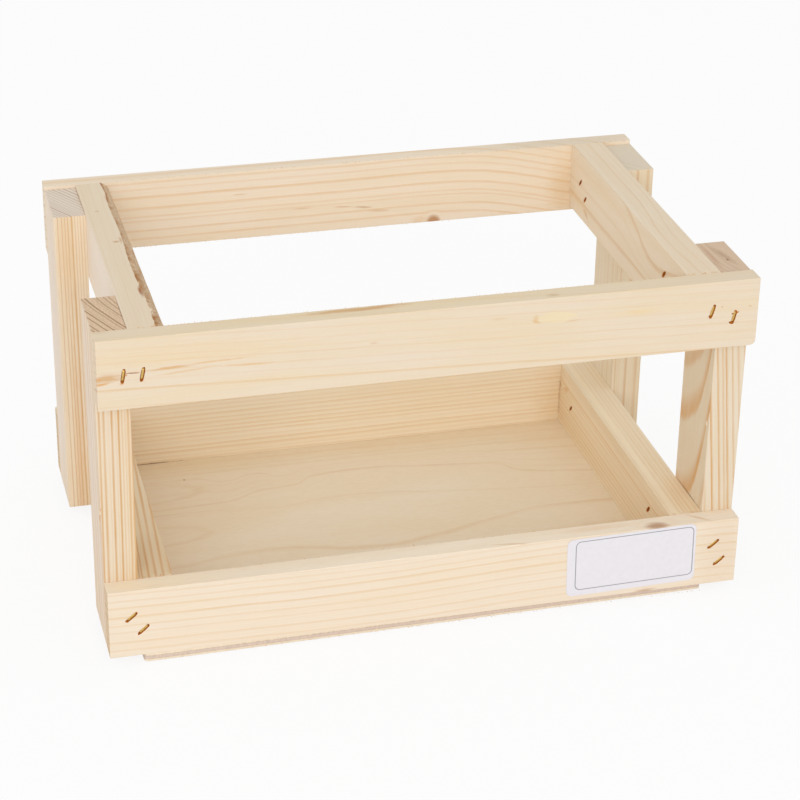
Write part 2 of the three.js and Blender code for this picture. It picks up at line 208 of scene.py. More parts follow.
def makeSpruce(name, look, place):
    # Planed and sawn Norway spruce: creamy earlywood between tan latewood lines, a dry, open
    # surface that scatters light and shows hardly any gloss
    material, add = newMaterial(name)
    spot, normal = boardSpot(add, **place)
    if look["zeroAt"]:
        spot = add("VectorMath", [spot, (look["zeroAt"], 0, 0)], "SUBTRACT")
    seed = look["seed"]
    parts = add("SeparateXYZ", [spot])

    # Height in the rings: slanted and bent sheets through the wood
    ring = add("VectorMath", [spot, (look["slope"], look["across"], look["deep"])], "DOT_PRODUCT")
    if look["bend"]:
        bend = smoothCurve(add, parts.outputs["X"], look["bend"])
        if look["bendFrom"]:
            share = add("MapRange", [parts.outputs["Y"], *look["bendFrom"], 0.0, 1.0], "SMOOTHSTEP")
            bend = add("Math", [bend, share], "MULTIPLY")
        ring = add("Math", [ring, bend], "SUBTRACT")
    if look["bendDeep"]:
        ring = add("Math", [ring, smoothCurve(add, parts.outputs["Z"], look["bendDeep"])], "ADD")
    wide = stretchedNoise(add, spot, look["wanderLength"], 2, seed)
    sway = add("Math", [wide, look["wander"] * 2, -look["wander"]], "MULTIPLY_ADD")
    ring = add("Math", [ring, sway], "ADD")
    close = stretchedNoise(add, spot, (14, 1.6, 1.6), 2, seed + 5)
    shiver = add("Math", [close, 0.36, -0.18], "MULTIPLY_ADD")
    ring = add("Math", [ring, shiver], "ADD")

    # Knots turn the rings round them
    knotDistances = []
    for knot in look["knots"]:
        distance = ellipse(add, spot, knot["at"], knot["size"])
        ragged = add("Math", [close, 0.5, -0.25], "MULTIPLY_ADD")
        distance = add("Math", [distance, ragged], "ADD")
        pull = add("MapRange", [distance, 1.0, knot["reach"], 1.0, 0.0], "SMOOTHSTEP")
        rings = add("Math", [distance, knot["gap"], knot["level"]], "MULTIPLY_ADD")
        ring = add("Mix", {"Factor": pull, "A": ring, "B": rings})
        knotDistances.append((distance, knot))

    # Chosen lines, and finer ones at a steady spacing where the real board has many
    lines = ringLines(add, ring, look["lines"], *look["spread"])
    fine = look["fine"]
    if fine:
        drift = stretchedNoise(add, spot, (160, 5, 5), 1, seed + 9)
        turns = add("Math", [ring, 1 / fine["spacing"]], "MULTIPLY")
        turns = add("Math", [drift, fine["drift"], turns], "MULTIPLY_ADD")
        random = add("TexWhiteNoise", {"W": add("Math", [turns], "FLOOR")}, "1D")
        saw = add("ValToRGB", {"Fac": add("Math", [turns], "FRACT")})
        saw.color_ramp.interpolation = "EASE"
        elements = saw.color_ramp.elements
        elements[0].position, elements[0].color = fine["start"], (0, 0, 0, 1)
        elements[1].position, elements[1].color = 0.86, (1, 1, 1, 1)
        elements.new(1.0).color = (0, 0, 0, 1)
        level = add("MapRange", [random.outputs["Value"], 0.0, 1.0, fine["weak"], fine["strong"]])
        saw = add("Math", [saw, level], "MULTIPLY")
        lines = add("Math", [lines, saw], "MAXIMUM") if lines else saw
    patchy = stretchedNoise(add, spot, (38, 7, 7), 2, seed + 13)
    patchy = add("MapRange", [patchy, 0.25, 0.75, 0.62, 1.1])
    lines = add("Math", [lines, patchy], "MULTIPLY", use_clamp=True)
    colour = add("Mix", {"Factor": lines, "A": linear(look["pale"]), "B": linear(look["dark"])}, "RGBA")

    # Broad shade from earlier years and from where the sap ran
    broad = stretchedNoise(add, spot, (110, 9, 9), 2, seed + 21)
    colour = tint(add, colour, linear(look["warm"]), broad, 0.3, 0.72, 0.0, look["cloud"])

    # End grain: darker, with the rings seen as arcs and open fibre ends
    facing = add("VectorMath", [normal, place["along"]], "DOT_PRODUCT")
    facing = add("Math", [facing], "ABSOLUTE")
    poreSize, poreLow, poreHigh = look["pores"]
    pores = stretchedNoise(add, spot, (40, poreSize, poreSize), 3, seed + 41, 0.7)
    endLines = ringLines(add, ring, look["lines"], *look["endSpread"]) if look["endSpread"] else lines
    endColour = tint(add, linear(look["endPale"]), linear(look["endDark"]),
        endLines, look["endFrom"], 0.9, 0.0, look["endLines"])
    poreShade = add("MapRange", [pores, 0.3, 0.7, poreLow, poreHigh])
    endColour = multiplied(add, endColour, poreShade)
    colour = tint(add, colour, endColour, facing, 0.6, 0.85)

    # Stains, resin streaks and torn patches, and some painted sheen, shadow and shade, each a soft ellipse
    # with a ragged edge
    jitter = stretchedNoise(add, spot, (6, 0.8, 0.8), 3, seed + 31)
    jitter = add("Math", [jitter, 1.1, -0.55], "MULTIPLY_ADD")
    for mark in look["marks"]:
        at, size, turn, stainAndPaintedLight, strength, core = fullMark(*mark)
        distance = add("Math", [ellipse(add, spot, at, size, turn), jitter], "ADD")
        colour = tint(add, colour, stainAndPaintedLight, distance, core, 1.0, strength, 0.0, "SMOOTHSTEP")
    for distance, knot in knotDistances:
        colour = tint(add, colour, linear(knot["colour"]),
            distance, 0.55, 1.25, knot["strength"], 0.0, "SMOOTHSTEP")

    # Fibres, drawn 0.6 mm wide: the real ones are finer than a pixel
    fibres = stretchedNoise(add, spot, (26, 0.6, 0.6), 3, seed + 51, 0.6)
    shade = tint(add, linear("#FDFAF4"), (1.02, 1.03, 1.045, 1), fibres, 0.25, 0.75)
    colour = multiplied(add, colour, shade)
    roughness = add("MapRange", [fibres, 0.3, 0.7, 0.58, 0.74])
    sawn = stretchedNoise(add, spot, (2.2, 30, 30), 1, seed + 61)  # faint marks across the board
    height = add("Math", [sawn, 0.25, fibres], "MULTIPLY_ADD")
    height = add("Math", [lines, 0.5, height], "MULTIPLY_ADD")
    finishMaterial(add, colour, roughness, height, 0.09, IOR=1.5, Specular_IOR_Level=0.2)
    return material


def newTree(name, kinds):
    # A geometry tree with these inputs, by name and kind
    tree = bpy.data.node_groups.new(name, "GeometryNodeTree")
    tree.is_modifier = True
    tree.interface.new_socket("Geometry", in_out="INPUT", socket_type="NodeSocketGeometry")
    for label, kind in kinds.items():
        tree.interface.new_socket(label, in_out="INPUT", socket_type=f"NodeSocket{kind}")
    tree.interface.new_socket("Geometry", in_out="OUTPUT", socket_type="NodeSocketGeometry")
    return tree, partial(addNode, tree), tree.nodes.new("NodeGroupInput").outputs


def closeTree(add, geometry, material):
    whole = add("GeometryNodeRealizeInstances", [geometry])
    whole = add("GeometryNodeSetMaterial", {"Geometry": whole, "Material": material})
    add("NodeGroupOutput", [whole])


def plainObject(name, mesh, *materials):
    piece = bpy.data.objects.new(name, mesh)
    bpy.context.scene.collection.objects.link(piece)
    for material in materials:
        mesh.materials.append(material)
    return piece


def fromBmesh(name, bm, material, grid=False):
    # A closed shape gets its normals turned out, and a flat grid keeps its own
    if not grid:
        bmesh.ops.recalc_face_normals(bm, faces=bm.faces)
    mesh = bpy.data.meshes.new(name)
    bm.to_mesh(mesh)
    bm.free()
    return plainObject(name, mesh, material)


def seedPoints(name, points, edges, **ways):
    # The mesh that a tree starts from: points, edges between them and a direction at each point
    mesh = bpy.data.meshes.new(name)
    mesh.from_pydata(points, edges, [])
    for key, vectors in ways.items():
        layer = mesh.attributes.new(key, "FLOAT_VECTOR", "POINT")
        layer.data.foreach_set("vector", [v for vector in vectors for v in vector])
    return mesh


def settle(piece):
    # The evaluated object becomes a plain mesh, and its modifiers go
    bpy.context.view_layer.update()
    graph = bpy.context.evaluated_depsgraph_get()
    mesh = bpy.data.meshes.new_from_object(piece.evaluated_get(graph), depsgraph=graph)
    mesh.name = piece.name
    piece.modifiers.clear()
    piece.data = mesh
    return piece


def growPiece(name, tree, values, seedMesh=None):
    # Runs a geometry tree with these values on a new piece
    piece = plainObject(name, seedMesh or bpy.data.meshes.new(name))
    modifier = piece.modifiers.new(tree.name, "NODES")
    modifier.node_group = tree
    sockets = {item.name: item.identifier for item in tree.interface.items_tree
        if item.item_type == "SOCKET" and item.in_out == "INPUT"}
    for label, value in values.items():
        modifier[sockets[label]] = value
    return settle(piece)


def makeBoardTree():
    # A sawn board about the origin: length along X, width along Y, thickness along Z. Its arrises
    # are broken unevenly, its faces are not quite flat, and chosen corners can be round.
    tree, add, given = newTree("sawnBoard", {"Size": "Vector", "Cells": "Vector", "Arris": "Float",
        "Arris Change": "Float", "Corner": "Float", "Every Corner": "Float", "Wobble": "Float",
        "Seed": "Float", "Turn": "Rotation", "Middle": "Vector", "Material": "Material"})
    counts = add("SeparateXYZ", [add("VectorMath", [given["Cells"], (1, 1, 1)], "ADD")])
    block = add("GeometryNodeMeshCube", [given["Size"], *counts.outputs])
    half = add("VectorMath", [given["Size"], (0.5, 0.5, 0.5)], "MULTIPLY")
    cell = add("VectorMath", [given["Size"], given["Cells"]], "DIVIDE")
    place = add("GeometryNodeInputPosition")
    side = add("VectorMath", [place], "SIGN")

    # How far the arris is broken at this place along this edge
    reach = add("VectorMath", [place, (1 / (9 * mm), 0, 0)], "MULTIPLY")
    edge = add("VectorMath", [side, (0, 7.3, 3.1)], "MULTIPLY")
    reach = add("VectorMath", [reach, edge], "ADD")
    worn = add("TexNoise", {"Vector": reach, "W": given["Seed"], "Scale": 1.0, "Detail": 3.0}, "4D")
    worn = add("Math", [worn, 2.0, -1.0], "MULTIPLY_ADD")
    worn = add("Math", [worn, given["Arris Change"], 1.0], "MULTIPLY_ADD")
    radius = add("Math", [worn, given["Arris"]], "MULTIPLY")

    # The two outer rows of cells are drawn into the arris, and then bent round it
    distance = add("VectorMath", [place], "ABSOLUTE")
    strip = add("VectorMath", [cell, (2, 2, 2)], "MULTIPLY")
    inset = add("VectorMath", [half, radius], "SUBTRACT")
    flatHalf = add("VectorMath", [half, strip], "SUBTRACT")
    stretch = add("VectorMath", [inset, flatHalf], "DIVIDE")
    inner = add("VectorMath", [distance, stretch], "MULTIPLY")
    squeeze = add("VectorMath", [radius, strip], "DIVIDE")
    toFace = add("VectorMath", [half, distance], "SUBTRACT")
    outer = add("VectorMath", [toFace, squeeze], "MULTIPLY")
    outer = add("VectorMath", [half, outer], "SUBTRACT")
    drawn = add("VectorMath", [inner, outer], "MINIMUM")
    kept = add("VectorMath", [drawn, inset], "MINIMUM")
    over = add("VectorMath", [drawn, kept], "SUBTRACT")
    overX, overY, overZ = add("SeparateXYZ", [over]).outputs
    most = add("Math", [overX, overY], "MAXIMUM")
    most = add("Math", [most, overZ], "MAXIMUM")
    bendIn = add("Math", [most, add("VectorMath", [over], "LENGTH")], "DIVIDE")
    over = add("VectorMath", {"Vector": over, "Scale": bendIn}, "SCALE")
    broken = add("VectorMath", [kept, over], "ADD")
    broken = add("VectorMath", [broken, side], "MULTIPLY")
    block = add("GeometryNodeSetPosition", {"Geometry": block, "Position": broken})

    # Round corners in the plan of the face: all four, or the one at the far lower end
    place = add("GeometryNodeInputPosition")
    side = add("VectorMath", [place], "SIGN")
    away = add("VectorMath", [place], "ABSOLUTE")
    radii = add("CombineXYZ", [given["Corner"], given["Corner"], 0.0])
    corner = add("VectorMath", [half, radii], "SUBTRACT")
    past = add("VectorMath", [away, corner], "SUBTRACT")
    past = add("VectorMath", [past, (1, 1, 0)], "MULTIPLY")
    pastX, pastY, _ = add("SeparateXYZ", [past]).outputs
    least = add("Math", [pastX, pastY], "MINIMUM")
    farthest = add("Math", [pastX, pastY], "MAXIMUM")
    draw = add("Math", [farthest, add("VectorMath", [past], "LENGTH")], "DIVIDE")
    sideX, sideY, _ = add("SeparateXYZ", [side]).outputs
    lowerEnd = add("Math", [sideX, sideY], "SUBTRACT")
    lowerEnd = add("Math", [lowerEnd, given["Every Corner"]], "ADD")
    chosen = add("Math", [lowerEnd, 1.5], "GREATER_THAN")
    inCorner = add("Math", [least, 0.0], "GREATER_THAN")
    isRound = add("Math", [chosen, inCorner], "MULTIPLY")
    shorter = add("Math", [draw, 1.0], "SUBTRACT")
    shorter = add("Math", [shorter, isRound], "MULTIPLY")
    move = add("VectorMath", {"Vector": past, "Scale": shorter}, "SCALE")
    move = add("VectorMath", [move, side], "MULTIPLY")
    block = add("GeometryNodeSetPosition", {"Geometry": block, "Offset": move})

    # Faces that the saw left slightly uneven
    spot = add("GeometryNodeInputPosition")
    waves = (1 / (55 * mm), 1 / (14 * mm), 1 / (14 * mm))
    spot = add("VectorMath", [spot, waves], "MULTIPLY")
    uneven = add("TexNoise", {"Vector": spot, "W": given["Seed"], "Scale": 1.0, "Detail": 3.0}, "4D")
    uneven = add("Math", [uneven, 2.0, -1.0], "MULTIPLY_ADD")
    uneven = add("Math", [uneven, given["Wobble"]], "MULTIPLY")
    outward = add("GeometryNodeInputNormal")
    offset = add("VectorMath", {"Vector": outward, "Scale": uneven}, "SCALE")
    block = add("GeometryNodeSetPosition", {"Geometry": block, "Offset": offset})
    block = add("GeometryNodeSetShadeSmooth", {"Geometry": block, "Shade Smooth": True})
    block = add("GeometryNodeTransform", {"Geometry": block, "Translation": given["Middle"],
        "Rotation": given["Turn"]})
    closeTree(add, block, given["Material"])
    return tree


boardTree = makeBoardTree()
boardCell = 1.25 * mm
boardLook = {"Arris": 0.2 * mm, "Arris Change": 0.25, "Corner": 0.0, "Every Corner": 0.0,
    "Wobble": 0.1 * mm}


def growBoard(name, size, middle, along, across, material, turn=Matrix.Identity(3), **values):
    # The tree's X, Y and Z go to the board's length, width and thickness
    turn = turn @ Matrix((along, across, along.cross(across))).transposed()
    return growPiece(name, boardTree, {**boardLook, "Size": size,
        "Cells": [float(max(round(s / boardCell), 6)) for s in size], "Turn": turn.to_euler(),
        "Middle": middle, "Material": material, **values})


# Staples: read from the CAD nodes, so that the wire, its slot and its torn edge agree
stapleLook = {"Crown": 6.0 * mm, "Wire Width": 1.25 * mm, "Wire Thickness": 1.0 * mm, "Bend": 0.75 * mm}
outward = {"front_rail": (0, -1, 0), "rear_rail": (0, 1, 0), "left_side_rail": (1, 0, 0),
    "right_side_rail": (-1, 0, 0), "floor": (0, 0, -1)}


def stapleSpot(name, out):
    # Middle of the crown's outer face, its direction and the leg's length
    first = out.orthogonal().normalized()
    second = out.cross(first)
    points = [v.co.copy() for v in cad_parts[name].data.vertices]
    heights = [p.dot(out) for p in points]
    crown = [p for p, height in zip(points, heights) if height > max(heights) - 0.1 * mm]
    middle = sum(crown, Vector()) / len(crown)
    flat = [((p - middle).dot(first), (p - middle).dot(second)) for p in crown]
    spread = sum(a * a - b * b for a, b in flat), sum(2 * a * b for a, b in flat)
    angle = 0.5 * math.atan2(spread[1], spread[0])
    direction = first * math.cos(angle) + second * math.sin(angle)
    return dict(middle=middle, along=direction, out=out, leg=max(heights) - min(heights))


staples = {}
for place, out in outward.items():
    for node in sorted(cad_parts):
        if "_staple" in node and place in node.split("_staple")[0]:
            staples[node] = stapleSpot(node, Vector(out))
print("staples read:", len(staples))

# The boards. lines are (mm across the visible face, strength, width in mm). marks are (place, half
# size, colour, strength, turn in degrees, core), and core is the share of the size at full
# strength. tears are (place, half length, half width, depth, turn). Places along a board are in mm
# from its left or rear end, or from where zeroAt puts it. spruce is what a board has by default.
faces = {
    "longRail": dict(along=Vector((1, 0, 0)), across=Vector((0, 0, 1)), deep=Vector((0, 1, 0))),
    "sideRail": dict(along=Vector((0, -1, 0)), across=Vector((0, 0, 1)), deep=Vector((1, 0, 0))),
    "post": dict(along=Vector((0, 0, 1)), across=Vector((1, 0, 0)), deep=Vector((0, 1, 0)))}
spruce = dict(
    endPale="#DCC3A2", endDark="#A9805A", endLines=1.0, endFrom=0.0, endSpread=None, cloud=0.35,
    pores=(0.5, 0.88, 1.09), across=1.0, slope=0, zeroAt=0, wander=0.3, wanderLength=(70, 16, 16),
    spread=(1.0, 0.55), bend=None, bendFrom=None, bendDeep=None, fine=None, knots=[], marks=[],
    closed=(), tears=(), shape={})
boards = {
    "upper_front_rail": dict(
        kind="longRail", seed=3, endPale="#E4D0B6", endDark="#BE9A72", pale="#E8D9C6", dark="#DBAE74",
        warm="#E7D0A4", cloud=0.45, spread=(1.25, 0.7), deep=0.35, slope=0.035, wander=0.7,
        shape={"Corner": 2.4 * mm},
        tears=[((15.6, 16.9), 3.1, 0.2, 0.35, -3), ((277.1, 16.6), 0.9, 0.7, 1.3, 35),
            ((278.9, 21.2), 0.8, 0.35, 0.5, 80), ((289.0, 17.0), 1.9, 0.4, 0.6, 12),
            ((287.2, 12.4), 0.9, 0.6, 1.3, -20)],
        lines=[(1.8, 0.3, 0.9), (10.0, 0.55, 0.9), (14.4, 0.18, 0.7), (18.2, 0.22, 0.8),
            (22.6, 0.26, 0.8), (25.4, 0.16, 0.7), (29.0, 0.15, 0.8), (33.6, 0.22, 0.7), (38.0, 0.2, 0.8),
            (41.5, 0.2, 0.8)],
        marks=[((40, 24), (75, 8), "#EACD94", 0.28), ((4.5, 15.2), (10, 2.8), "#D2A46C", 0.75, 5),
            ((1.5, 12.8), (5, 0.9), "#DE9C48", 0.7, 6), ((0.5, 15.2), (2.5, 0.8), "#DE9C48", 0.6),
            ((32, 17.7), (14, 0.95), "#D69A4C", 0.62, 3), ((54, 18.8), (20, 0.6), "#E2B070", 0.6, 1),
            ((38, 15.4), (19, 0.8), "#DCA658", 0.32, 4), ((66, 15.6), (16, 0.7), "#E2B070", 0.5, -2),
            ((15.6, 15.3), (3.8, 1.2), "#E9CFA0", 0.3), ((12.6, 16.2), (0.8, 1.1), "#CC8A44", 0.7),
            ((10.6, 12.4), (1.3, 1.0), "#DDA368", 0.7), ((19.2, 13.2), (1.3, 1.1), "#E0A870", 0.7),
            ((204, 23.8), (10.5, 2.9), "#EFDDB0", 0.45, 0, 0.7),
            ((194.6, 23.8), (1.9, 2.9), "#DCB26E", 0.42), ((195, 22.2), (3, 1.0), "#DDB070", 0.45, -20),
            ((212, 21.2), (5, 0.6), "#DDB27A", 0.4, 6), ((243, 22.5), (13, 2.2), "#EBCF93", 0.4),
            ((178, 25.5), (6, 1.0), "#DDBB92", 0.3), ((121, 19.8), (3, 0.8), "#D8AE88", 0.4),
            ((282.5, 20.6), (0.9, 0.5), "#CE8A40", 0.7), ((296, 19.8), (1.3, 0.5), "#CE8A40", 0.6),
            ((120, 33.4, 5), (230, 1.2, 14), "#EFDCB0", 0.4),
            ((112, 33.4, 7.0), (30, 1.6, 2.6), "#CE9A5C", 0.68),
            ((128, 33.4, 8.2), (16, 1.6, 1.5), "#CB8C4E", 0.45),
            ((3, 33.4, 8.5), (6, 2, 2.0), "#C99C68", 0.18),
            ((203, 33.4, 3), (4, 1.5, 2.4), "#CBAA84", 0.45)]),
    "lower_front_rail": dict(
        kind="longRail", seed=8, pale="#F0E1CF", dark="#DFB678", warm="#EDD6AE", cloud=0.3,
        spread=(1.2, 0.65), deep=0.2, wander=0.55,
        bend=[(0, 0.4), (60, -0.8), (110, -1.5), (160, -0.5), (205, 1.0), (250, 1.4), (300, 0.3)],
        lines=[(3.2, 0.36, 0.8), (7.5, 0.38, 0.9), (12.6, 0.28, 0.7), (16.3, 0.38, 0.8),
            (20.8, 0.54, 1.0), (25.7, 0.47, 0.9), (29.2, 0.34, 0.8), (32.6, 0.3, 0.7), (34.9, 0.18, 0.7),
            (37.2, 0.3, 0.9)],
        knots=[dict(at=(259.5, 36, 1.8), size=(6.8, 3.1, 4.2), gap=1.1, level=34.0, reach=2.2,
            strength=0.66, colour="#A56A3A")],
        marks=[((150, 34.4, 5), (300, 1.0, 20), "#FBF0DC", 0.6),
            ((14, 34.2, 1.4), (26, 2.2, 2.6), "#E9BC70", 0.1),
            ((193, 34.4, 3), (7, 1.2, 0.7), "#FFF4DC", 0.6, (0, 18, 0)),
            ((188, 34.4, 1.2), (12, 1.2, 0.9), "#D8A86E", 0.6, (0, 8, 0)),
            ((255, 0.4), (7, 1.3), "#B98A62", 0.6),
            ((282, 34.4, 4), (9, 1.2, 1.3), "#D9A870", 0.5, (0, 40, 0)),
            ((230, 34.4, 6), (28, 1.2, 3.6), "#E3BB8A", 0.3),
            ((25, 34.4, 5), (45, 1.2, 9), "#FAE9C8", 0.5), ((292, 18), (16, 28), "#E0C8AC", 0.3)]),
    "upper_rear_rail": dict(
        kind="longRail", seed=12, zeroAt=31.2, endPale="#E9D8C2", endDark="#CFB08C", pale="#F2E4D2",
        dark="#E0AE6C", warm="#EDD6B0", cloud=0.4, spread=(1.2, 0.7), deep=0.35, wander=0.5,
        bend=[(-31, -0.4), (0, -0.3), (60, 0.0), (120, 0.2), (165, 0.6), (185, -0.2), (200, -2.2),
            (215, -5.4), (237, -10.8), (268, -18)],
        lines=[(4.6, 0.45, 1.0), (9.0, 0.5, 0.9), (14.0, 0.38, 0.7), (16.2, 0.4, 0.8), (20.6, 0.5, 1.1),
            (26.5, 0.56, 1.2), (30.8, 0.28, 1.0), (34.2, 0.4, 0.9), (38.0, 0.4, 0.9), (42.0, 0.38, 0.9),
            (46.0, 0.42, 0.9), (50.0, 0.34, 0.9)],
        knots=[dict(at=(165, 0.3, -1.5), size=(3.6, 3.3, 9), gap=1.2, level=2.0, reach=2.4, strength=0.8,
            colour="#B67C44")],
        marks=[((128, 11.2), (6, 0.8), "#B8803E", 0.5, -6), ((118, 12.2), (7, 0.6), "#D3A270", 0.5, -3),
            ((136, 8.6), (8, 1.0), "#D5A878", 0.45, -3), ((65, 23.5), (5, 0.5), "#D5A878", 0.5),
            ((96, 13.2), (7, 0.6), "#D5A878", 0.45), ((158, 1.5), (7, 3), "#E2BE90", 0.4),
            ((235, 35.8, 4.5), (60, 1.2, 16), "#D8CAB4", 0.5), ((234, 12), (12, 22), "#DCB884", 0.35)]),
    "lower_rear_rail": dict(
        kind="longRail", seed=17, zeroAt=31.2, pale="#F7EBD6", dark="#E0BA82", warm="#EFDAB4", cloud=0.4,
        deep=0.3, wander=0.5, lines=[],
        fine=dict(spacing=2.5, weak=0.2, strong=0.6, drift=0.8, start=0.2),
        # The first mark is a painted shadow in the seam above the floor panel; the second is painted shade,
        # darker towards the right inner corner
        marks=[((11, -0.1), (29, 0.8), "#7E4C22", 0.8, 0, 0.4), ((240, 14), (24, 28), "#DDB47C", 0.28),
            ((237.3, 13), (0.7, 16), "#A97A44", 0.4)]),
    "upper_right_side_rail": dict(
        kind="sideRail", seed=21, pale="#EEDFCA", dark="#D0A05A", warm="#E6CA9C", cloud=0.3, across=0.25,
        deep=1.0,
        bend=[(0, 0.0), (50, 0.25), (76, 0.0), (88, -0.7), (100, -1.8), (112, -3.2), (124, -3.75),
            (135, -3.45), (146, -2.6), (168, -0.8)],
        bendFrom=(7, 19), spread=(1.0, 0.6),
        lines=[(2.2, 0.42, 0.7), (4.2, 0.16, 0.5), (6.6, 0.12, 0.4), (8.7, 0.42, 0.75), (12.2, 0.14, 0.7),
            (16.4, 0.42, 0.7), (21.8, 0.26, 0.7), (26.5, 0.2, 0.7)],
        marks=[((26, 5.4), (6, 1.6), "#CE9850", 0.5, -20), ((12, 9), (26, 8), "#E6C080", 0.1),
            ((84, 34.2, 8), (180, 1.4, 24), "#D9C8AC", 0.3)]),
    "lower_right_side_rail": dict(
        kind="sideRail", seed=26, pale="#F2E1C6", dark="#D9A960", warm="#E9CB9A", deep=0.7, wander=0.4,
        spread=(1.2, 0.7), closed=("lower_right_side_rail_rear_staple_2",),
        lines=[(3.0, 0.35, 0.8), (5.4, 0.4, 0.8), (8.2, 0.5, 0.8), (10.6, 0.4, 0.7), (13.2, 0.5, 0.8),
            (16.6, 0.3, 0.7), (20.4, 0.3, 0.7), (23.4, 0.35, 0.7), (25.4, 0.6, 0.9), (30.0, 0.15, 0.9),
            (33.8, 0.3, 0.7), (35.0, 0.25, 0.6), (38.1, 0.35, 0.7), (39.7, 0.42, 0.7), (40.8, 0.38, 0.6),
            (42.3, 0.42, 0.7), (44.0, 0.28, 0.7)],
        knots=[dict(at=(-3, 22, 2), size=(5, 3.2, 8), gap=1.6, level=22, reach=2.6, strength=0.75,
            colour="#B3793F")],
        marks=[((60, 33), (120, 7), "#DCC7A4", 0.25), ((50, 34.2, 8), (110, 1.4, 24), "#F4E7CE", 0.4),
            ((84, 34.2, 3.6), (180, 1.4, 2.6), "#FBEBC8", 0.3),
            ((10, 23), (7, 2.4), "#D8A45C", 0.4, 30)]),
    "upper_left_side_rail": dict(
        kind="sideRail", seed=31, pale="#ECDCC6", dark="#D0AC70", warm="#E2CEA6", cloud=0.45, across=0.3,
        deep=1.0, slope=0.004,
        lines=[(3.0, 0.15, 0.6), (6.0, 0.2, 0.6), (11.8, 0.14, 0.5), (16.0, 0.14, 0.6), (20.0, 0.08, 0.7),
            (24.5, 0.1, 0.7)],
        marks=[((35.5, 33.2, 5.6), (0.9, 2, 2.0), "#D2AE80", 0.7),
            ((73.5, 33.2, 9.2), (1.6, 2, 2.6), "#C99C66", 0.75),
            ((72, 33.2, 11.4), (6, 2, 1.3), "#C99C66", 0.6),
            ((20, 33.2, 11.9), (6, 2, 1.0), "#BE9058", 0.3),
            ((130, 33.2, 11.7), (9, 2, 1.5), "#A05E26", 0.9),
            # Painted sheen: whitens and greys the rail's outer, left-facing face, standing in for a
            # glancing reflection of the white surroundings
            ((84, 17, 0), (180, 40, 0.8), "#ECE0DA", 0.45)]),
    "lower_left_side_rail": dict(
        kind="sideRail", seed=36, pale="#E8D7BA", dark="#D0914E", warm="#DDBD8C", across=0.35, deep=1.0,
        slope=0.062, spread=(1.1, 0.9),
        lines=[(6.0, 0.6, 1.0), (10.0, 0.6, 1.0), (14.0, 0.65, 1.0), (17.6, 0.8, 1.0), (20.4, 0.8, 0.9),
            (22.2, 0.55, 0.7), (23.4, 0.7, 0.7), (24.6, 0.75, 0.8), (27.6, 0.8, 0.9), (30.8, 0.75, 1.0),
            (34.2, 0.75, 1.0), (37.6, 0.65, 1.0)]),
    "post_front_left": dict(
        kind="post", seed=41, pale="#EADBC6", dark="#CB8F42", warm="#E6CB9C", cloud=0.3, deep=0.0,
        slope=-0.011, wanderLength=(150, 14, 14),
        bendDeep=[(0, 0), (4, 1.8), (8, 3.6), (14, 6.2), (20, 8.8), (26, 11.2), (31, 12.9), (36, 14.3)],
        endPale="#DEC2A4", endDark="#906C44", endLines=0.78, endFrom=0.2, spread=(1.3, 0.9),
        endSpread=(1.15, 1.0), pores=(0.9, 0.8, 1.24),
        fine=dict(spacing=1.25, weak=0.0, strong=0.2, drift=1.4, start=0.1),
        lines=[(0.0, 0.85, 0.7), (2.0, 0.8, 0.8), (4.1, 0.2, 0.6), (5.5, 0.85, 0.9), (7.2, 0.2, 0.5),
            (8.4, 1.0, 0.9), (10.0, 0.45, 0.6), (11.3, 0.35, 0.5), (12.6, 0.7, 0.8), (14.4, 0.95, 0.9),
            (16.6, 0.35, 0.6), (18.0, 0.5, 0.6), (19.4, 0.8, 0.7), (21.0, 0.4, 0.6), (22.4, 0.75, 0.8),
            (24.6, 0.7, 0.7)],
        marks=[((80, 14, 1), (120, 2.5, 4), "#E0B67C", 0.22),
            # Painted sheen: whitens and greys the post's outer, left-facing face, standing in for a
            # glancing reflection of the white surroundings
            ((80, 0, 20), (160, 0.8, 30), "#EBE0DA", 0.4),
            # Partly torn fibres and partly a painted shadow in the gap where the post's top meets the side
            # rail
            ((158, 15.2, 18), (4, 0.6, 22), "#7A5230", 0.6)]),
    "post_rear_left": dict(
        kind="post", seed=46, pale="#F0E1CB", dark="#C98F40", warm="#E6CB9E", deep=0.6, slope=0.004,
        wander=0.2, spread=(1.1, 0.8), wanderLength=(150, 14, 14), endPale="#E8DBCC", endDark="#AC8C72",
        endLines=0.85, endSpread=(1.1, 0.8),
        lines=[(0.0, 0.4, 0.5), (2.5, 0.55, 0.5), (4.4, 0.6, 0.5), (5.8, 0.6, 0.4), (7.2, 0.65, 0.5),
            (9.1, 0.8, 0.8), (10.6, 0.45, 0.5), (11.9, 0.4, 0.5), (13.2, 0.45, 0.5), (14.6, 0.4, 0.5),
            (16.6, 0.35, 0.6), (18.9, 0.4, 0.6), (21.3, 0.45, 0.6), (23.6, 0.5, 0.6), (25.8, 0.6, 0.8),
            (28.4, 0.5, 0.8), (31.0, 0.65, 0.9), (33.8, 0.45, 0.8), (36.2, 0.4, 0.8)],
        marks=[((30, 6.6), (90, 3.4), "#D99E5C", 0.3), ((140, 5, 0), (50, 7, 1), "#DDB88A", 0.35),
            # Painted sheen: whitens and greys the post's outer, left-facing face, standing in for a
            # glancing reflection of the white surroundings
            ((80, 0, 20), (160, 0.8, 30), "#E8DDD6", 0.6),
            # Partly torn fibres and partly a painted shadow in the gap where the post's top meets the side
            # rail
            ((157, 15.2, 22), (4, 0.6, 24), "#8A6244", 0.45)]),
    "post_front_right": dict(
        kind="post", seed=51, pale="#E7DBC8", dark="#D2944C", warm="#E0C79C", deep=0.0, slope=0.088,
        wanderLength=(120, 14, 14), spread=(0.5, 1.6),
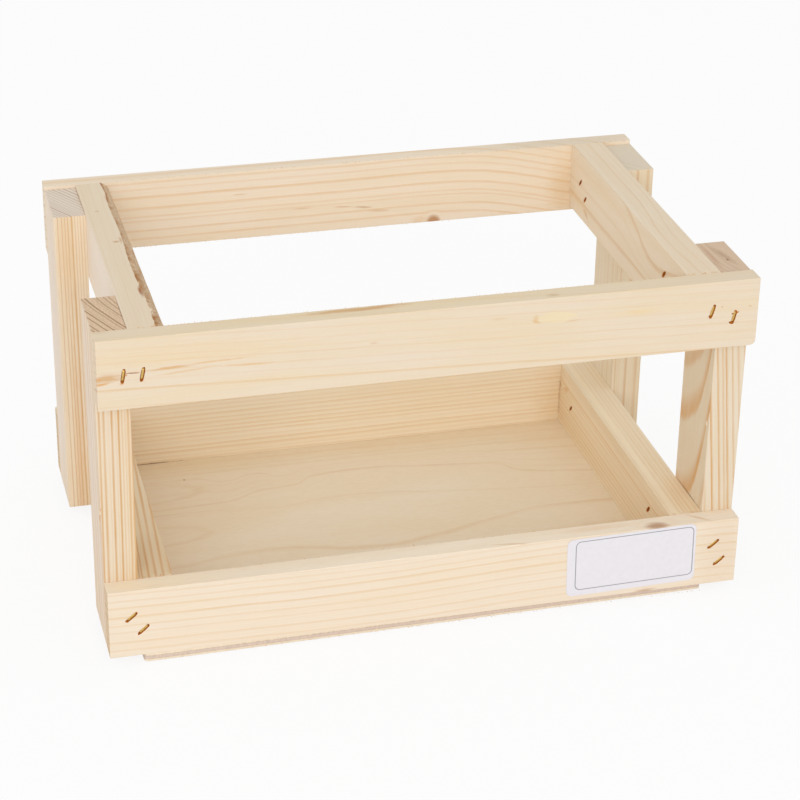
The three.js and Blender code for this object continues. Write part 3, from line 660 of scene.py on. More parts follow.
        bendDeep=[(0, 0), (2.7, 0.9), (4.7, 1.75), (6.7, 2.45), (8.7, 3.0), (11.7, 3.8), (15.7, 4.45),
            (20.7, 4.9), (25.7, 5.22), (31, 5.5), (36, 5.7)],
        endPale="#DCC3A8", endDark="#B08E70", endLines=0.5,
        fine=dict(spacing=1.3, weak=0.0, strong=0.06, drift=1.4, start=0.1),
        lines=[(4.2, 0.4, 1.0), (8.0, 0.95, 0.8), (11.7, 0.85, 0.8), (14.2, 0.55, 0.9), (15.8, 1.0, 0.9),
            (19.0, 0.6, 0.7), (21.9, 0.5, 0.8), (25.0, 0.6, 0.9)],
        marks=[((80, 0, 18), (160, 0.8, 40), "#E8D2AC", 0.15),
            # The first mark below is a painted contact shadow where the lower side rail's top meets the
            # post's inner face
            ((34.3, 0, 19), (0.8, 1, 20), "#8A5A20", 0.6), ((157, 9, 15), (4, 0.9, 1.7), "#8A6238", 0.85),
            ((157, 9.0, 20), (4, 2.6, 15), "#A98668", 0.5, (12, 0, 0)),
            ((157, 3.0, 20), (4, 1.6, 18), "#C09272", 0.4),
            ((80, 0, 3), (2, 0.5, 3.4), "#FFF6E6", 0.95, (-30, 0, 0))]),
    "post_rear_right": dict(
        kind="post", seed=56, pale="#EBDDC6", dark="#CF9856", warm="#E4CB9E", deep=0.8, wander=0.25,
        wanderLength=(120, 14, 14), spread=(1.1, 0.8),
        fine=dict(spacing=1.1, weak=0.05, strong=0.2, drift=0.8, start=0.1), endPale="#E4D7C2",
        endDark="#C5B196", endLines=0.4,
        lines=[(1.5, 0.5, 0.7), (7.2, 0.6, 1.3), (12.6, 0.5, 1.6), (16.8, 0.3, 1.0), (21.0, 0.35, 0.9),
            (24.0, 0.3, 0.9)],
        marks=[((80, 0, 18), (160, 0.8, 40), "#F0E4CE", 0.45)]),
}


def makeTorn():
    # Torn, bruised end fibres inside the staple holes: much darker, because little light gets in
    material, add = newMaterial("tornSpruce")
    grain = stretchedNoise(add, plainSpot(add), (1.2, 0.8, 0.8), 3, 2)
    colour = tint(add, linear("#98500E"), linear("#D88A34"), grain, 0.3, 0.7)
    finishMaterial(add, colour, 0.85, grain, 0.2, Specular_IOR_Level=0.1)
    return material


def makeBark():
    # Inner bark left on the wane: matt, granular and brown, darkest where it meets the wood
    material, add = newMaterial("spruceBark")
    spot = plainSpot(add)
    grain = stretchedNoise(add, spot, (0.6, 1.5, 0.6), 4, 4, 0.75)
    colour = tint(add, linear("#B88E62"), linear("#F4E0C2"), grain, 0.3, 0.7)
    blotch = stretchedNoise(add, spot, (4, 14, 4), 3, 7)
    colour = tint(add, colour, linear("#B67E46"), blotch, 0.54, 0.7, 0.0, 0.6)
    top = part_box("upper_left_side_rail")[1].z / mm
    height = add("SeparateXYZ", [spot]).outputs["Z"]
    edge = add("MapRange", [height, top - 0.8, top, 0.0, 1.0])
    here = stretchedNoise(add, spot, (9, 9, 9), 2, 15)
    here = add("MapRange", [here, 0.42, 0.6, 0.12, 0.95])
    edge = add("Math", [edge, here], "MULTIPLY")
    colour = add("Mix", {"Factor": edge, "A": colour, "B": linear("#A86E30")}, "RGBA")
    finishMaterial(add, colour, 0.9, grain, 0.35, Specular_IOR_Level=0.15)
    return material


torn = makeTorn()
bark = makeBark()


def skinRings(bm, rings):
    # A closed skin over rings of points, given from the outside in or from end to end
    rings = [[bm.verts.new(point) for point in ring] for ring in rings]
    for ring, after in zip(rings, rings[1:]):
        for index in range(len(ring)):
            other = (index + 1) % len(ring)
            bm.faces.new((ring[index], ring[other], after[other], after[index]))
    bm.faces.new(rings[0])
    bm.faces.new(list(reversed(rings[-1])))


def blobCutter(bm, spot, look):
    # A ragged lens round a crown, deepest in the middle, that opens the wood over the staple
    along, out = spot["along"], spot["out"]
    side = along.cross(out)
    count = 24
    rings = []
    for level, scale in ((look["above"], 1.06), (0.0, 1.0), (-0.5 * look["deep"], 0.86),
            (-look["deep"], 0.5)):
        ring = []
        for index in range(count):
            angle = 2 * math.pi * index / count
            c, s = math.cos(angle), math.sin(angle)
            ragged = 1 + 0.16 * noise.noise(Vector((3 * c, 3 * s, look["seed"])))
            a = math.copysign(abs(c) ** look["square"], c) * look["half"] * scale * ragged
            b = math.copysign(abs(s) ** look["square"], s) * look["wide"] * ragged
            ring.append(spot["middle"] + out * (look["sink"] + level) + along * a + side * b * scale)
        rings.append(ring)
    skinRings(bm, rings)


def carve(piece, bm, material):
    # Cuts the shapes in bm out of the board and puts the material on the cut
    cutter = fromBmesh("cutter", bm, material)
    cut = piece.modifiers.new("cut", "BOOLEAN")
    cut.operation, cut.solver, cut.object = "DIFFERENCE", "EXACT", cutter
    cut.material_mode = "TRANSFER"
    settle(piece)
    bpy.data.objects.remove(cutter)


def evenShading(piece):
    shade = piece.modifiers.new("even", "WEIGHTED_NORMAL")
    shade.weight = 80
    settle(piece)


def barkCutter(bm):
    # What the tree's round outside left missing from the inner top arris of the upper left side
    # rail, in shares from the front end to the rear end
    wane = dict(width=4.6 * mm, depth=3.8 * mm, step=0.8 * mm, bulge=0.55 * mm, rough=0.32 * mm,
        past=1.6 * mm, points=9,
        widths=(0.86, 0.84, 0.8, 0.88, 0.96, 1, 0.96, 0.84, 0.8, 0.82, 0.92, 0.92, 0.78, 0.9),
        depths=(0.5, 0.46, 0.55, 0.48, 0.6, 0.58, 0.66, 0.6, 0.7, 0.74, 0.86, 0.8, 0.94, 1))
    low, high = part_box("upper_left_side_rail")
    start, end = low.y - wane["past"], high.y + wane["past"]
    count = round((end - start) / wane["step"])
    last = len(wane["widths"]) - 1
    rings = []
    for index in range(count + 1):
        y = start + (end - start) * index / count
        share = min(max((y - low.y) / (high.y - low.y), 0), 1) * last
        here = min(int(share), last - 1)
        ease = share - here
        ease = ease * ease * (3 - 2 * ease)
        width, depth = [
            wane[key] * (wane[key + "s"][here] + (wane[key + "s"][here + 1] - wane[key + "s"][here]) * ease)
            for key in ("width", "depth")]
        width += 0.2 * mm * noise.noise(Vector((y / (4 * mm), 0, 5)))
        outward = Vector((depth, 0, width)).normalized()
        ring = [Vector((high.x + wane["past"], y, high.z + wane["past"])),
            Vector((high.x - width, y, high.z + wane["past"]))]
        for step in range(wane["points"]):
            t = step / (wane["points"] - 1)
            grain = noise.fractal(Vector((y / (3.2 * mm), t * 3.1, 1.7)), 0.6, 2.1, 4)
            swell = (wane["bulge"] + wane["rough"] * grain) * math.sin(math.pi * t)
            base = Vector((high.x - width * (1 - t), y, high.z - depth * t))
            ring.append(base + outward * swell)
        ring.append(Vector((high.x + wane["past"], y, high.z - depth)))
        rings.append(ring)
    skinRings(bm, rings)


tears = dict(
    longRail=dict(above=0.6 * mm, half=3.5 * mm, wide=0.86 * mm, square=0.62),
    sideRail=dict(above=0.6 * mm, half=2.8 * mm, square=1.1),
    board=dict(above=0.5 * mm, square=0.9, sink=0.0))
sinks = dict(longRail=0.4 * mm, sideRail=1.3 * mm)  # how deep the crowns lie under the face
holeDepth = 1.1 * mm  # under the crown
holeEnds = {"rear": dict(wide=0.74 * mm, stainAndPaintedLight=0.6), "front": dict(wide=0.9 * mm, stainAndPaintedLight=0.95)}
stainAndPaintedLight = dict(size=(4.0, 1.5), colour="#B4702C", core=0.35)
postArris = 0.14 * mm


def holeStain(node, spot, origin, kind):
    # Bruised wood round a staple driven below the face, at its place and turn on the board
    along, across = kind["along"], kind["across"]
    away = (spot["middle"] - origin) / mm
    turn = math.degrees(math.atan2(spot["along"].dot(across), spot["along"].dot(along)))
    strength = holeEnds[node.split("_")[-3]]["stainAndPaintedLight"]
    at = away.dot(along), away.dot(across)
    return at, stainAndPaintedLight["size"], stainAndPaintedLight["colour"], strength, turn, stainAndPaintedLight["core"]


for name, look in boards.items():
    look = {**spruce, **look}
    low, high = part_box(name)
    kind = faces[look["kind"]]
    along, across = kind["along"], kind["across"]
    isSide = look["kind"] == "sideRail"
    origin = Vector((low.x, high.y if isSide else low.y, low.z))
    own = {node: spot for node, spot in staples.items()
        if node.startswith(name + "_") and node not in look["closed"]}
    if isSide:
        look["marks"] = look["marks"] + [holeStain(*item, origin, kind) for item in own.items()]
    material = makeSpruce(name, look, dict(origin=origin, **kind))
    size = [abs((high - low).dot(kind[key])) for key in ("along", "across", "deep")]
    shape = {"Arris": postArris} if look["kind"] == "post" else look["shape"]
    piece = growBoard(name + "_timber", size, (low + high) / 2, along, across, material,
        Seed=float(look["seed"]), **shape)
    if own:
        bm = bmesh.new()
        sink = sinks[look["kind"]]
        for index, (node, spot) in enumerate(own.items()):
            tear = dict(tears[look["kind"]], sink=sink, deep=sink + holeDepth, seed=look["seed"] + index)
            if isSide:
                tear["wide"] = holeEnds[node.split("_")[-3]]["wide"]
            blobCutter(bm, spot, tear)
        carve(piece, bm, torn)
    if look["tears"]:
        bm = bmesh.new()
        for index, (at, half, wide, deep, turn) in enumerate(look["tears"]):
            angle = math.radians(turn)
            spot = dict(middle=origin + (along * at[0] + across * at[1]) * mm, out=-kind["deep"],
                along=along * math.cos(angle) + across * math.sin(angle))
            blobCutter(bm, spot, dict(tears["board"], half=half * mm, wide=wide * mm, deep=deep * mm,
                seed=look["seed"] + 20 + index))
        carve(piece, bm, torn)
    if name == "upper_left_side_rail":
        bm = bmesh.new()
        barkCutter(bm)
        carve(piece, bm, bark)
    evenShading(piece)
    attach(piece, "root")
    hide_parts(name)
print("boards made:", len(boards))


def layeredRing(add, parts, curves):
    # Ring height that is 0 on the first given line, 1 on the next, and so on between them
    heights = [smoothCurve(add, parts.outputs["X"], curve) for curve in curves]
    ring = None
    for lower, upper in zip(heights, heights[1:]):
        share = add("MapRange", [parts.outputs["Y"], lower, upper, 0.0, 1.0])
        ring = share if ring is None else add("Math", [ring, share], "ADD")
    return ring


def makePlywood():
    # Three-ply softwood panel: rotary-cut face veneers with broad, wandering figure, and a
    # pinkish-grey cross ply that shows its end grain along the edges. Places are in mm from the
    # inside front left corner.
    look = dict(
        pale="#F2E3CC", dark="#DDB985", warm="#ECD7B3", edgePale="#F1E0C6", core="#DAC5B5",
        coreDark="#C2AA98", veneer=(1.2, 2.9),
        curves=[
            [(-20, -30), (60, -28), (150, -34), (258, -30)],
            [(-20, 22), (30, 30), (80, 33), (130, 24), (190, 38), (258, 30)],
            [(-20, 60), (10, 62), (60, 68), (110, 60), (140, 64), (180, 75), (210, 80), (258, 75)],
            [(-20, 114), (50, 112), (75, 109), (100, 113), (130, 111), (160, 106), (200, 100),
             (237, 96), (258, 94)],
            [(-20, 118), (45, 119), (66, 128), (84, 130), (95, 137), (120, 139), (150, 135),
             (190, 129), (200, 119), (237, 110), (258, 107)],
            [(-20, 147), (35, 147), (50, 141), (65, 146), (80, 140), (95, 146), (150, 146),
             (200, 141), (258, 137)],
            [(-20, 152), (80, 151), (160, 150), (258, 145)],
            [(-20, 190), (120, 186), (258, 180)]],
        lines=[(0.35, 0.32, 0.12), (0.7, 0.25, 0.1), (1.0, 0.4, 0.1), (1.45, 0.25, 0.1),
               (2.0, 0.5, 0.1), (2.96, 0.13, 0.05), (3.0, 0.5, 0.04), (4.0, 0.48, 0.12),
               (4.22, 0.16, 0.08), (4.5, 0.18, 0.1), (4.78, 0.13, 0.1), (5.0, 0.32, 0.12),
               (6.0, 0.22, 0.16), (6.12, 0.3, 0.06), (6.3, 0.28, 0.06), (6.5, 0.24, 0.06),
               (6.75, 0.24, 0.06)],
        tongues=[(-2, 92, 34, 9.5), (-4, 135, 39, 10.5)],
        pinKnot=((29.5, 146.6, 4), (0.8, 1.2, 3), "#A67E48", 0.55, 0, 0.4))
    material, add = newMaterial("sprucePlywood")
    coordinates = add("TexCoord")
    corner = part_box("lower_left_side_rail")
    spot = add("Mapping", {"Vector": coordinates.outputs["Object"], "Scale": (1 / mm, 1 / mm, 1 / mm),
        "Location": (-corner[1].x / mm, -corner[0].y / mm, 0)}, "POINT")
    parts = add("SeparateXYZ", [spot])
    ring = layeredRing(add, parts, look["curves"])
    wide = stretchedNoise(add, spot, (60, 20, 30), 3, 11)
    ring = add("Math", [wide, 0.12, ring], "MULTIPLY_ADD")
    ragged = stretchedNoise(add, spot, (9, 2.4, 3), 3, 17, 0.6)
    ring = add("Math", [ragged, 0.07, ring], "MULTIPLY_ADD")
    ring = add("Math", [ring, 0.095], "SUBTRACT")
    lines = ringLines(add, ring, look["lines"])
    for along, across, length, width in look["tongues"]:
        distance = ellipse(add, spot, (along, across, 0), (length, width, 1000))
        distance = add("Math", [ragged, 0.3, distance], "MULTIPLY_ADD")
        distance = add("Math", [distance, 1.15], "SUBTRACT")
        distance = add("Math", [distance], "ABSOLUTE")
        loop = add("MapRange", [distance, 0.0, 0.2, 0.34, 0.0], "SMOOTHSTEP")
        lines = add("Math", [lines, loop], "MAXIMUM")
    patchy = stretchedNoise(add, spot, (60, 12, 12), 2, 13)
    patchy = add("MapRange", [patchy, 0.28, 0.72, 0.45, 1.1])
    lines = add("Math", [lines, patchy], "MULTIPLY", use_clamp=True)
    face = add("Mix", {"Factor": lines, "A": linear(look["pale"]), "B": linear(look["dark"])}, "RGBA")
    broad = stretchedNoise(add, spot, (90, 26, 30), 2, 23)
    face = tint(add, face, linear(look["warm"]), broad, 0.3, 0.7, 0.0, 0.55)
    at, size, turn, stainAndPaintedLight, strength, core = fullMark(*look["pinKnot"])
    face = tint(add, face, stainAndPaintedLight, ellipse(add, spot, at, size, turn), core, 1.0, strength, 0.0)
    pores = stretchedNoise(add, spot, (5, 0.7, 0.7), 3, 29, 0.65)
    face = multiplied(add, face, tint(add, linear("#FCF9F4"), (1.02, 1.03, 1.04, 1), pores, 0.3, 0.7))

    # The edge, by height: face veneer, cross ply, face veneer
    grit = stretchedNoise(add, spot, (1.1, 1.1, 2.2), 3, 37, 0.7)
    rise = add("Math", [grit, 0.5, parts.outputs["Z"]], "MULTIPLY_ADD")
    ply = add("ValToRGB", {"Fac": add("MapRange", [rise, 0.25, 4.25, 0.0, 1.0])})
    low, high = [v / 4 for v in look["veneer"]]
    pale, dark, core = look["edgePale"], look["coreDark"], look["core"]
    for element in ply.color_ramp.elements:
        element.color = linear(pale)
    for place, shade in ((low - 0.04, pale), (low, dark), (low + 0.05, core), (high - 0.05, core),
            (high, dark), (high + 0.04, pale)):
        ply.color_ramp.elements.new(place).color = linear(shade)
    edge = multiplied(add, ply, add("MapRange", [grit, 0.3, 0.7, 0.88, 1.08]))
    facing = add("SeparateXYZ", [coordinates.outputs["Normal"]])
    upright = add("Math", [facing.outputs["Z"]], "ABSOLUTE")
    colour = tint(add, edge, face, upright, 0.5, 0.8)
    roughness = add("MapRange", [pores, 0.3, 0.7, 0.5, 0.64])
    height = add("Math", [grit, 0.4, pores], "MULTIPLY_ADD")
    finishMaterial(add, colour, roughness, height, 0.07, IOR=1.5, Specular_IOR_Level=0.4)
    return material


# The panel lies a little askew: its box gives its length and width once the turn is known
panel = dict(length=268.8, skew=1.2, look={"Arris": 0.18 * mm, "Corner": 2.0 * mm, "Every Corner": 9.0,
    "Wobble": 0.05 * mm, "Seed": 71.0})
panelTurn = math.asin(2 * panel["skew"] / panel["length"])
low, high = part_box("floor_panel")
extent = high - low
c, s = math.cos(panelTurn), math.sin(panelTurn)
panelSize = ((extent.x * c - extent.y * s) / (c * c - s * s),
    (extent.y * c - extent.x * s) / (c * c - s * s), extent.z)
floorPanel = growBoard("floor_panel_plywood", panelSize, (low + high) / 2, Vector((1, 0, 0)),
    Vector((0, 1, 0)), makePlywood(), Matrix.Rotation(panelTurn, 3, "Z"), **panel["look"])
evenShading(floorPanel)
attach(floorPanel, "root")
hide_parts("floor_panel")
print("floor panel made")


def makeBrass():
    # Brass-coated steel wire, drawn and flattened: bright yellow metal with fine draw lines
    material, add = newMaterial("brassCoatedWire")
    draw = stretchedNoise(add, plainSpot(add), (0.5, 0.5, 0.5), 3, 3, 0.6)
    colour = tint(add, linear("#BF9648"), linear("#E8C880"), draw, 0.35, 0.65)
    roughness = add("MapRange", [draw, 0.3, 0.7, 0.3, 0.48])
    finishMaterial(add, colour, roughness, draw, 0.03, Metallic=1.0)
    return material


def makeStapleTree():
    # Wire bent round two corners, set at each point by its own crown direction and driven way
    tree, add, given = newTree("wireStaple", {"Crown": "Float", "Leg": "Float", "Wire Width": "Float",
        "Wire Thickness": "Float", "Bend": "Float", "Material": "Material"})
    line = add("GeometryNodeMeshLine", {"Count": 4})
    index = add("GeometryNodeInputIndex")
    side = add("Math", [index, 1.5], "GREATER_THAN")
    side = add("Math", [side, 2.0, -1.0], "MULTIPLY_ADD")
    centred = add("Math", [index, 1.5], "SUBTRACT")
    centred = add("Math", [centred], "ABSOLUTE")
    isPoint = add("Math", [centred, 1.0], "GREATER_THAN")
    halfCrown = add("Math", [given["Crown"], given["Wire Thickness"]], "SUBTRACT")
    halfCrown = add("Math", [halfCrown, 0.5], "MULTIPLY")
    across = add("Math", [halfCrown, side], "MULTIPLY")
    middle = add("Math", [given["Wire Thickness"], -0.5], "MULTIPLY")
    drop = add("Math", [given["Leg"], middle], "ADD")
    drop = add("Math", [drop, isPoint], "MULTIPLY")
    down = add("Math", [middle, drop], "SUBTRACT")
    place = add("CombineXYZ", [across, down, 0.0])
    line = add("GeometryNodeSetPosition", {"Geometry": line, "Position": place})
    path = add("GeometryNodeMeshToCurve", {"Mesh": line})
    path = add("GeometryNodeFilletCurve", {"Curve": path, "Radius": given["Bend"], "Count": 5}, mode="POLY")
    path = add("GeometryNodeSetCurveNormal", {"Curve": path}, mode="Z_UP")
    section = add("GeometryNodeCurvePrimitiveQuadrilateral",
        {"Width": given["Wire Thickness"], "Height": given["Wire Width"]})
    section = add("GeometryNodeFilletCurve", {"Curve": section, "Radius": 0.2 * mm, "Count": 2,
        "Limit Radius": True}, mode="POLY")
    wire = add("GeometryNodeCurveToMesh", {"Curve": path, "Profile Curve": section, "Fill Caps": True})
    wire = add("GeometryNodeSetShadeSmooth", {"Geometry": wire, "Shade Smooth": True})
    ways = [add("GeometryNodeInputNamedAttribute", {"Name": name}, data_type="FLOAT_VECTOR")
        for name in ("crownWay", "outWay")]
    turn = add("FunctionNodeAxesToRotation", ways, primary_axis="X", secondary_axis="Y")
    wires = add("GeometryNodeInstanceOnPoints", {"Points": given["Geometry"], "Instance": wire,
        "Rotation": turn})
    closeTree(add, wires, given["Material"])
    return tree


stapleTree = makeStapleTree()
brass = makeBrass()
for word in ("front_rail", "rear_rail", "side_rail", "floor"):
    own = {node: spot for node, spot in staples.items() if word in node.split("_staple")[0]}
    crowns, outs, middles = [[spot[key] for spot in own.values()] for key in ("along", "out", "middle")]
    seedMesh = seedPoints(word + "_staples", middles, [], crownWay=crowns, outWay=outs)
    leg = next(iter(own.values()))["leg"]
    piece = growPiece(
        word + "_staples", stapleTree, {**stapleLook, "Leg": leg, "Material": brass}, seedMesh)
    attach(piece, "root")
    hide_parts(*own)
print("staples made:", len(staples))


def makeFibre():
    # Loose spruce fibres: pale and dry, yellower and redder towards the latewood ones
    material, add = newMaterial("spruceFibre")
    tone = stretchedNoise(add, plainSpot(add), (2.5, 2.5, 2.5), 2, 6)
    colour = tint(add, linear("#F1E2C8"), linear("#D59C5E"), tone, 0.4, 0.62)
    finishMaterial(add, colour, 0.75, None, 0, Specular_IOR_Level=0.2)
    return material


def makeFibreTree():
    # Tapered, bent slivers set along an edge path, each leaning between the path and outWay
    tree, add, given = newTree("looseFibres", {"Spacing": "Float", "Share": "Float", "Length": "Float",
        "Width": "Float", "Lean": "Float", "Seed": "Int", "Material": "Material"})
    path = add("GeometryNodeMeshToCurve", {"Mesh": given["Geometry"]})
    points = add("GeometryNodeCurveToPoints", {"Curve": path, "Length": given["Spacing"]}, mode="LENGTH")
    tangent = points.outputs["Tangent"]
    draws = []
    for step, (low, high) in enumerate(((-0.5, 0.5), (-1.0, 1.0), (0.35, 1.0), (0.45, 1.25))):
        seed = add("Math", [given["Seed"], float(step)], "ADD")
        draws.append(add("FunctionNodeRandomValue", {"Min": low, "Max": high, "Seed": seed}))
    slide, lean, rise, size = draws
    slide = add("Math", [slide, given["Spacing"]], "MULTIPLY")
    shift = add("VectorMath", {"Vector": tangent, "Scale": slide}, "SCALE")
    spots = add("GeometryNodeSetPosition", {"Geometry": points.outputs["Points"], "Offset": shift})
    outWay = add("GeometryNodeInputNamedAttribute", {"Name": "outWay"}, data_type="FLOAT_VECTOR")
    lean = add("Math", [lean, given["Lean"]], "MULTIPLY")
    along = add("VectorMath", {"Vector": tangent, "Scale": lean}, "SCALE")
    out = add("VectorMath", {"Vector": outWay, "Scale": rise}, "SCALE")
    way = add("VectorMath", [along, out], "ADD")
    turn = add("FunctionNodeAlignRotationToVector", {"Vector": way}, axis="Z")
    length = add("Math", [size, given["Length"]], "MULTIPLY")
    scale = add("CombineXYZ", [given["Width"], given["Width"], length])
    sliver = add("GeometryNodeMeshCone", {"Vertices": 5, "Side Segments": 3, "Radius Top": 0.06,
        "Radius Bottom": 0.5, "Depth": 1.15})
    place = add("GeometryNodeInputPosition")
    height = add("SeparateXYZ", [place]).outputs["Z"]
    bow = add("Math", [height, height], "MULTIPLY")
    bow = add("CombineXYZ", [bow, 0.0, -0.15])
    sliver = add("GeometryNodeSetPosition", {"Geometry": sliver.outputs["Mesh"], "Offset": bow})
    chosen = add("FunctionNodeRandomValue", {"Probability": given["Share"], "Seed": seed},
        data_type="BOOLEAN")
    slivers = add("GeometryNodeInstanceOnPoints", {"Points": spots, "Selection": chosen, "Instance": sliver,
        "Rotation": turn, "Scale": scale})
    closeTree(add, slivers, given["Material"])
    return tree


# Edges where the saw and the planer left loose fibres: two ends in mm and the way they stand
frayed = dict(
    sawn_edge_fibres=dict(
        look={"Spacing": 1.7 * mm, "Share": 0.55, "Length": 0.75 * mm, "Width": 0.3 * mm,
              "Lean": 1.0, "Seed": 5},
        edges=[((-149, -83.4, 162.4), (149, -83.4, 162.4), (0, 0.5, 0.8)),
               ((-149, -83.4, 38.1), (149, -83.4, 38.1), (0, 0.4, 0.6)),
               ((-104, -92.8, 129.5), (-58, -92.8, 129.5), (0, -0.4, -1)),
               ((-60, -83.4, 129.4), (140, -83.4, 129.4), (0, 0.5, -0.7)),
               ((-118, 84.1, 126.8), (60, 84.1, 126.8), (0, -0.5, -0.8)),
               ((-149, 84.1, 162.4), (149, 84.1, 162.4), (0, -0.4, 0.6)),
               ((-135, -92.8, 0.6), (133, -92.8, 0.6), (0, -0.5, 0.1))]),
    sawn_end_fibres=dict(
        look={"Spacing": 0.8 * mm, "Share": 0.8, "Length": 1.3 * mm, "Width": 0.5 * mm,
              "Lean": 0.7, "Seed": 9},
        edges=[((119, -83.1, 162.3), (134.6, -83.1, 162.3), (0, 0.5, 0.7)),
               ((119, -83.1, 38.0), (134.6, -83.1, 38.0), (0, 0.3, 0.8)),
               ((-134.6, -83.1, 162.3), (-119, -83.1, 162.3), (0, 0.3, 0.5)),
               ((-134.6, -83.1, 38.0), (-119, -83.1, 38.0), (0, 0.3, 0.5))]),
    post_splinters=dict(
        look={"Spacing": 9 * mm, "Share": 1.0, "Length": 11 * mm, "Width": 0.4 * mm,
              "Lean": 0.0, "Seed": 2},
        edges=[((-149.9, -83.2, 74), (-149.9, -83.2, 73), (-0.12, -0.1, -0.95))]))
fibreTree = makeFibreTree()
fibreMaterial = makeFibre()
for name, group in frayed.items():
    points = [Vector(end) * mm for edge in group["edges"] for end in edge[:2]]
    pairs = [(2 * index, 2 * index + 1) for index in range(len(group["edges"]))]
    ways = [edge[2] for edge in group["edges"] for _ in range(2)]
    piece = growPiece(name, fibreTree, {**group["look"], "Material": fibreMaterial},
        seedPoints(name, points, pairs, outWay=ways))
    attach(piece, "root")
    print(name, len(piece.data.polygons))


# Blank label: satin paper with a thin printed border line and nothing inside it
label = dict(size=(63.8 * mm, 30.7 * mm), corner=3.0 * mm, turn=math.radians(1.0), border=(29.1, 13.0),
    borderMiddle=(1.5, 0.8), borderCorner=2.6, lineWidth=0.36, lift=0.12 * mm, step=1.6 * mm)
labelLow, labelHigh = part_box("label")
labelMiddle = (labelLow + labelHigh) / 2


def makeLabelPaper():
    # Coated white paper: smooth and satin, with a faint cold tint against the wood
    material, add = newMaterial("satinLabelPaper")
    coordinates = add("TexCoord")
    spot = add("Mapping", {"Vector": coordinates.outputs["Object"], "Location": labelMiddle,
        "Rotation": (0, -label["turn"], 0), "Scale": (mm, mm, mm)}, "TEXTURE")
    corner = label["borderCorner"]
    halfX, halfZ = [half - corner for half in label["border"]]
    shiftX, shiftZ = label["borderMiddle"]
    away = add("VectorMath", [spot, (shiftX, 0, shiftZ)], "SUBTRACT")
    away = add("VectorMath", [away], "ABSOLUTE")
    away = add("VectorMath", [away, (halfX, 0, halfZ)], "SUBTRACT")
    away = add("VectorMath", [away, (1, 0, 1)], "MULTIPLY")
    outside = add("VectorMath", [away, (0, 0, 0)], "MAXIMUM")
    offLine = add("Math", [add("VectorMath", [outside], "LENGTH"), corner], "SUBTRACT")
    offLine = add("Math", [offLine], "ABSOLUTE")
    mottle = stretchedNoise(add, spot, (3, 3, 3), 3, 3)
    colour = tint(add, linear("#E5E2E7"), linear("#E9E6EA"), mottle, 0.3, 0.7)
    colour = tint(add, colour, linear("#86848A"),
        offLine, 0.4 * label["lineWidth"], 0.75 * label["lineWidth"], 0.9, 0.0)
    roughness = add("MapRange", [mottle, 0.3, 0.7, 0.36, 0.46])
    finishMaterial(add, colour, roughness, mottle, 0.02, IOR=1.5)
    return material


def growLabel(material):
    # A rounded sheet of paper with real thickness: a grid inside its outline, lifted a little
    # where the adhesive lets go at the corners
    halfX, halfZ = label["size"][0] / 2, label["size"][1] / 2
    turn = Matrix.Rotation(-label["turn"], 3, "Y")
    depth = labelHigh.y - labelLow.y
    bm = bmesh.new()
    countX, countZ = [round(s / label["step"]) for s in label["size"]]
    sheets = []
    for level in (0.0, 1.0):
        grid = []
        for i in range(countX + 1):
            column = []
            for j in range(countZ + 1):
                x, z = halfX * (2 * i / countX - 1), halfZ * (2 * j / countZ - 1)
                pastX = max(abs(x) - (halfX - label["corner"]), 0)
                pastZ = max(abs(z) - (halfZ - label["corner"]), 0)
                if pastX and pastZ:
                    draw = max(pastX, pastZ) / math.hypot(pastX, pastZ)
                    x = math.copysign(halfX - label["corner"] + pastX * draw, x)
                    z = math.copysign(halfZ - label["corner"] + pastZ * draw, z)
                corner = (abs(x) / halfX * abs(z) / halfZ) ** 6
                wave = 0.03 * mm * noise.noise(Vector((x, z, 0)) / (9 * mm))
                lift = label["lift"] * corner * (0.4 + 0.6 * (x > 0)) + wave + 0.03 * mm
                y = labelHigh.y - lift - depth * level
                place = turn @ Vector((x, 0, z)) + labelMiddle
                column.append(bm.verts.new((place.x, y, place.z)))
            grid.append(column)
        sheets.append(grid)
    for grid in sheets:
        for i in range(countX):
            for j in range(countZ):
                bm.faces.new((grid[i][j], grid[i + 1][j], grid[i + 1][j + 1], grid[i][j + 1]))
    border = ([(i, 0) for i in range(countX)] + [(countX, j) for j in range(countZ)]
        + [(i, countZ) for i in range(countX, 0, -1)] + [(0, j) for j in range(countZ, 0, -1)])
    for (i, j), (k, m) in zip(border, border[1:] + border[:1]):
        bm.faces.new((sheets[0][i][j], sheets[0][k][m], sheets[1][k][m], sheets[1][i][j]))
    return fromBmesh("label_paper", bm, material)


labelPiece = growLabel(makeLabelPaper())
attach(labelPiece, "root")
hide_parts("label")
print("label made")


# Stage: a pale floor that keeps a soft shadow, white all round, one broad lamp and one fill
stage = dict(floorSize=14.0, floorDrop=0.4 * mm, floorWhite="#FAFAFA", shadowShare=0.14, glow=1.0,
    world=0.765)


def raysOf(add, *kinds):
    # 1 for a ray of any of these kinds
    path = add("LightPath")
    seen = path.outputs[kinds[0]]
    for kind in kinds[1:]:
        seen = add("Math", [seen, path.outputs[kind]], "MAXIMUM")
    return seen


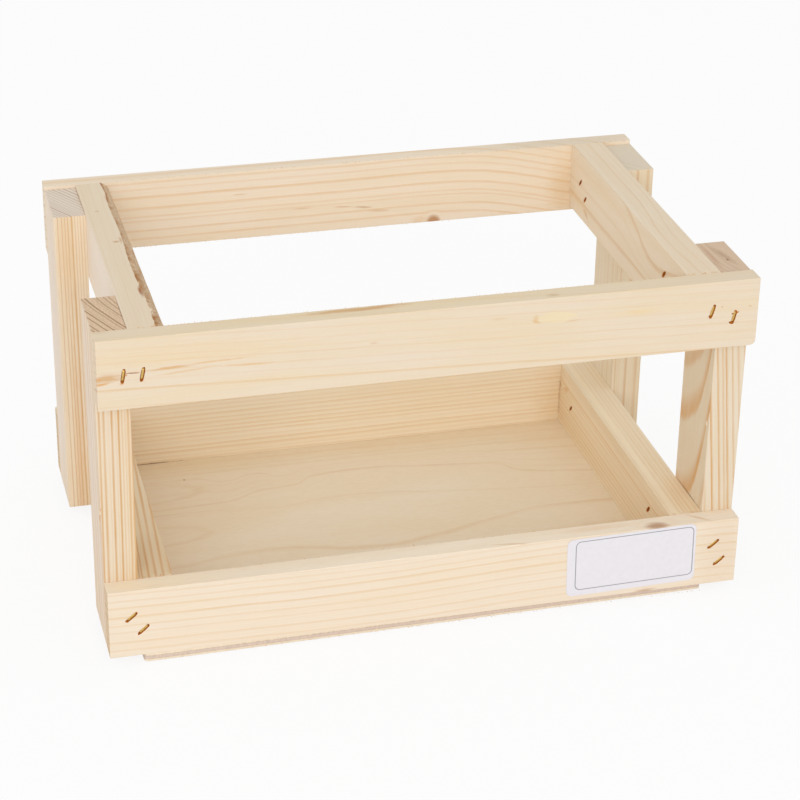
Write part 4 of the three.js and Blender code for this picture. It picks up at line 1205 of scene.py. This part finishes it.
def makeFloor():
    material, add = newMaterial("studioFloor")
    seen = raysOf(add, "Is Camera Ray", "Is Glossy Ray")
    glowShare = add("Math", [seen, 1 - stage["shadowShare"]], "MULTIPLY")
    grain = add("TexNoise", {"Scale": 40.0, "Detail": 2.0})
    tone = add("MapRange", [grain, 0.3, 0.7, 0.99, 1.0])
    colour = multiplied(add, linear(stage["floorWhite"]), tone)
    matt = add("BsdfDiffuse", {"Color": colour})
    glow = add("Emission", {"Color": (1, 1, 1, 1), "Strength": stage["glow"]})
    add("OutputMaterial", {"Surface": add("MixShader", [glowShare, matt, glow])})
    return material


def addStage():
    bm = bmesh.new()
    bmesh.ops.create_grid(bm, x_segments=8, y_segments=8, size=stage["floorSize"] / 2,
        matrix=Matrix.Translation((0, 0, -stage["floorDrop"])))
    fromBmesh("studio_floor", bm, makeFloor(), grid=True)
    world = bpy.data.worlds.new("studio")
    bpy.context.scene.world = world
    world.use_nodes = True
    world.node_tree.nodes.clear()
    add = partial(addNode, world.node_tree)
    seen = raysOf(add, "Is Camera Ray", "Is Glossy Ray", "Is Transmission Ray")
    strength = add("MapRange", [seen, 0.0, 1.0, stage["world"], 1.0])
    back = add("Background", {"Color": (1, 1, 1, 1), "Strength": strength})
    add("OutputWorld", {"Surface": back})


lamps = dict(
    key=dict(place=(-0.84, -3.3, 1.45), size=(3.0, 2.0), power=39.0),
    left=dict(place=(-1.7, -0.3, 0.7), size=(1.0, 1.0), power=2.0))


def addLamps():
    target = (cadBounds[0] + cadBounds[1]) / 2
    for name, look in lamps.items():
        light = bpy.data.lights.new(name, "AREA")
        light.shape, light.energy = "RECTANGLE", look["power"]
        light.size, light.size_y = look["size"]
        lamp = bpy.data.objects.new(name, light)
        bpy.context.scene.collection.objects.link(lamp)
        lamp.location = look["place"]
        lamp.rotation_euler = (target - lamp.location).to_track_quat("-Z", "Y").to_euler()


def addCamera():
    data = bpy.data.cameras.new("photoCamera")
    data.sensor_width = camera["sensor"]
    data.lens = camera["focalPixels"] / camera["photoPixels"] * camera["sensor"]
    eye = bpy.data.objects.new("photoCamera", data)
    bpy.context.scene.collection.objects.link(eye)
    turn = (Matrix.Rotation(camera["pan"], 3, "Z") @ Matrix.Rotation(camera["tilt"], 3, "X")
        @ Matrix.Rotation(camera["roll"], 3, "Y") @ Matrix.Rotation(math.pi / 2, 3, "X"))
    eye.location = camera["place"]
    eye.rotation_euler = turn.to_euler()
    bpy.context.scene.camera = eye


addStage()
addLamps()
addCamera()
bpy.context.scene.view_settings.view_transform = "Standard"
print("stage, lamps and camera set")
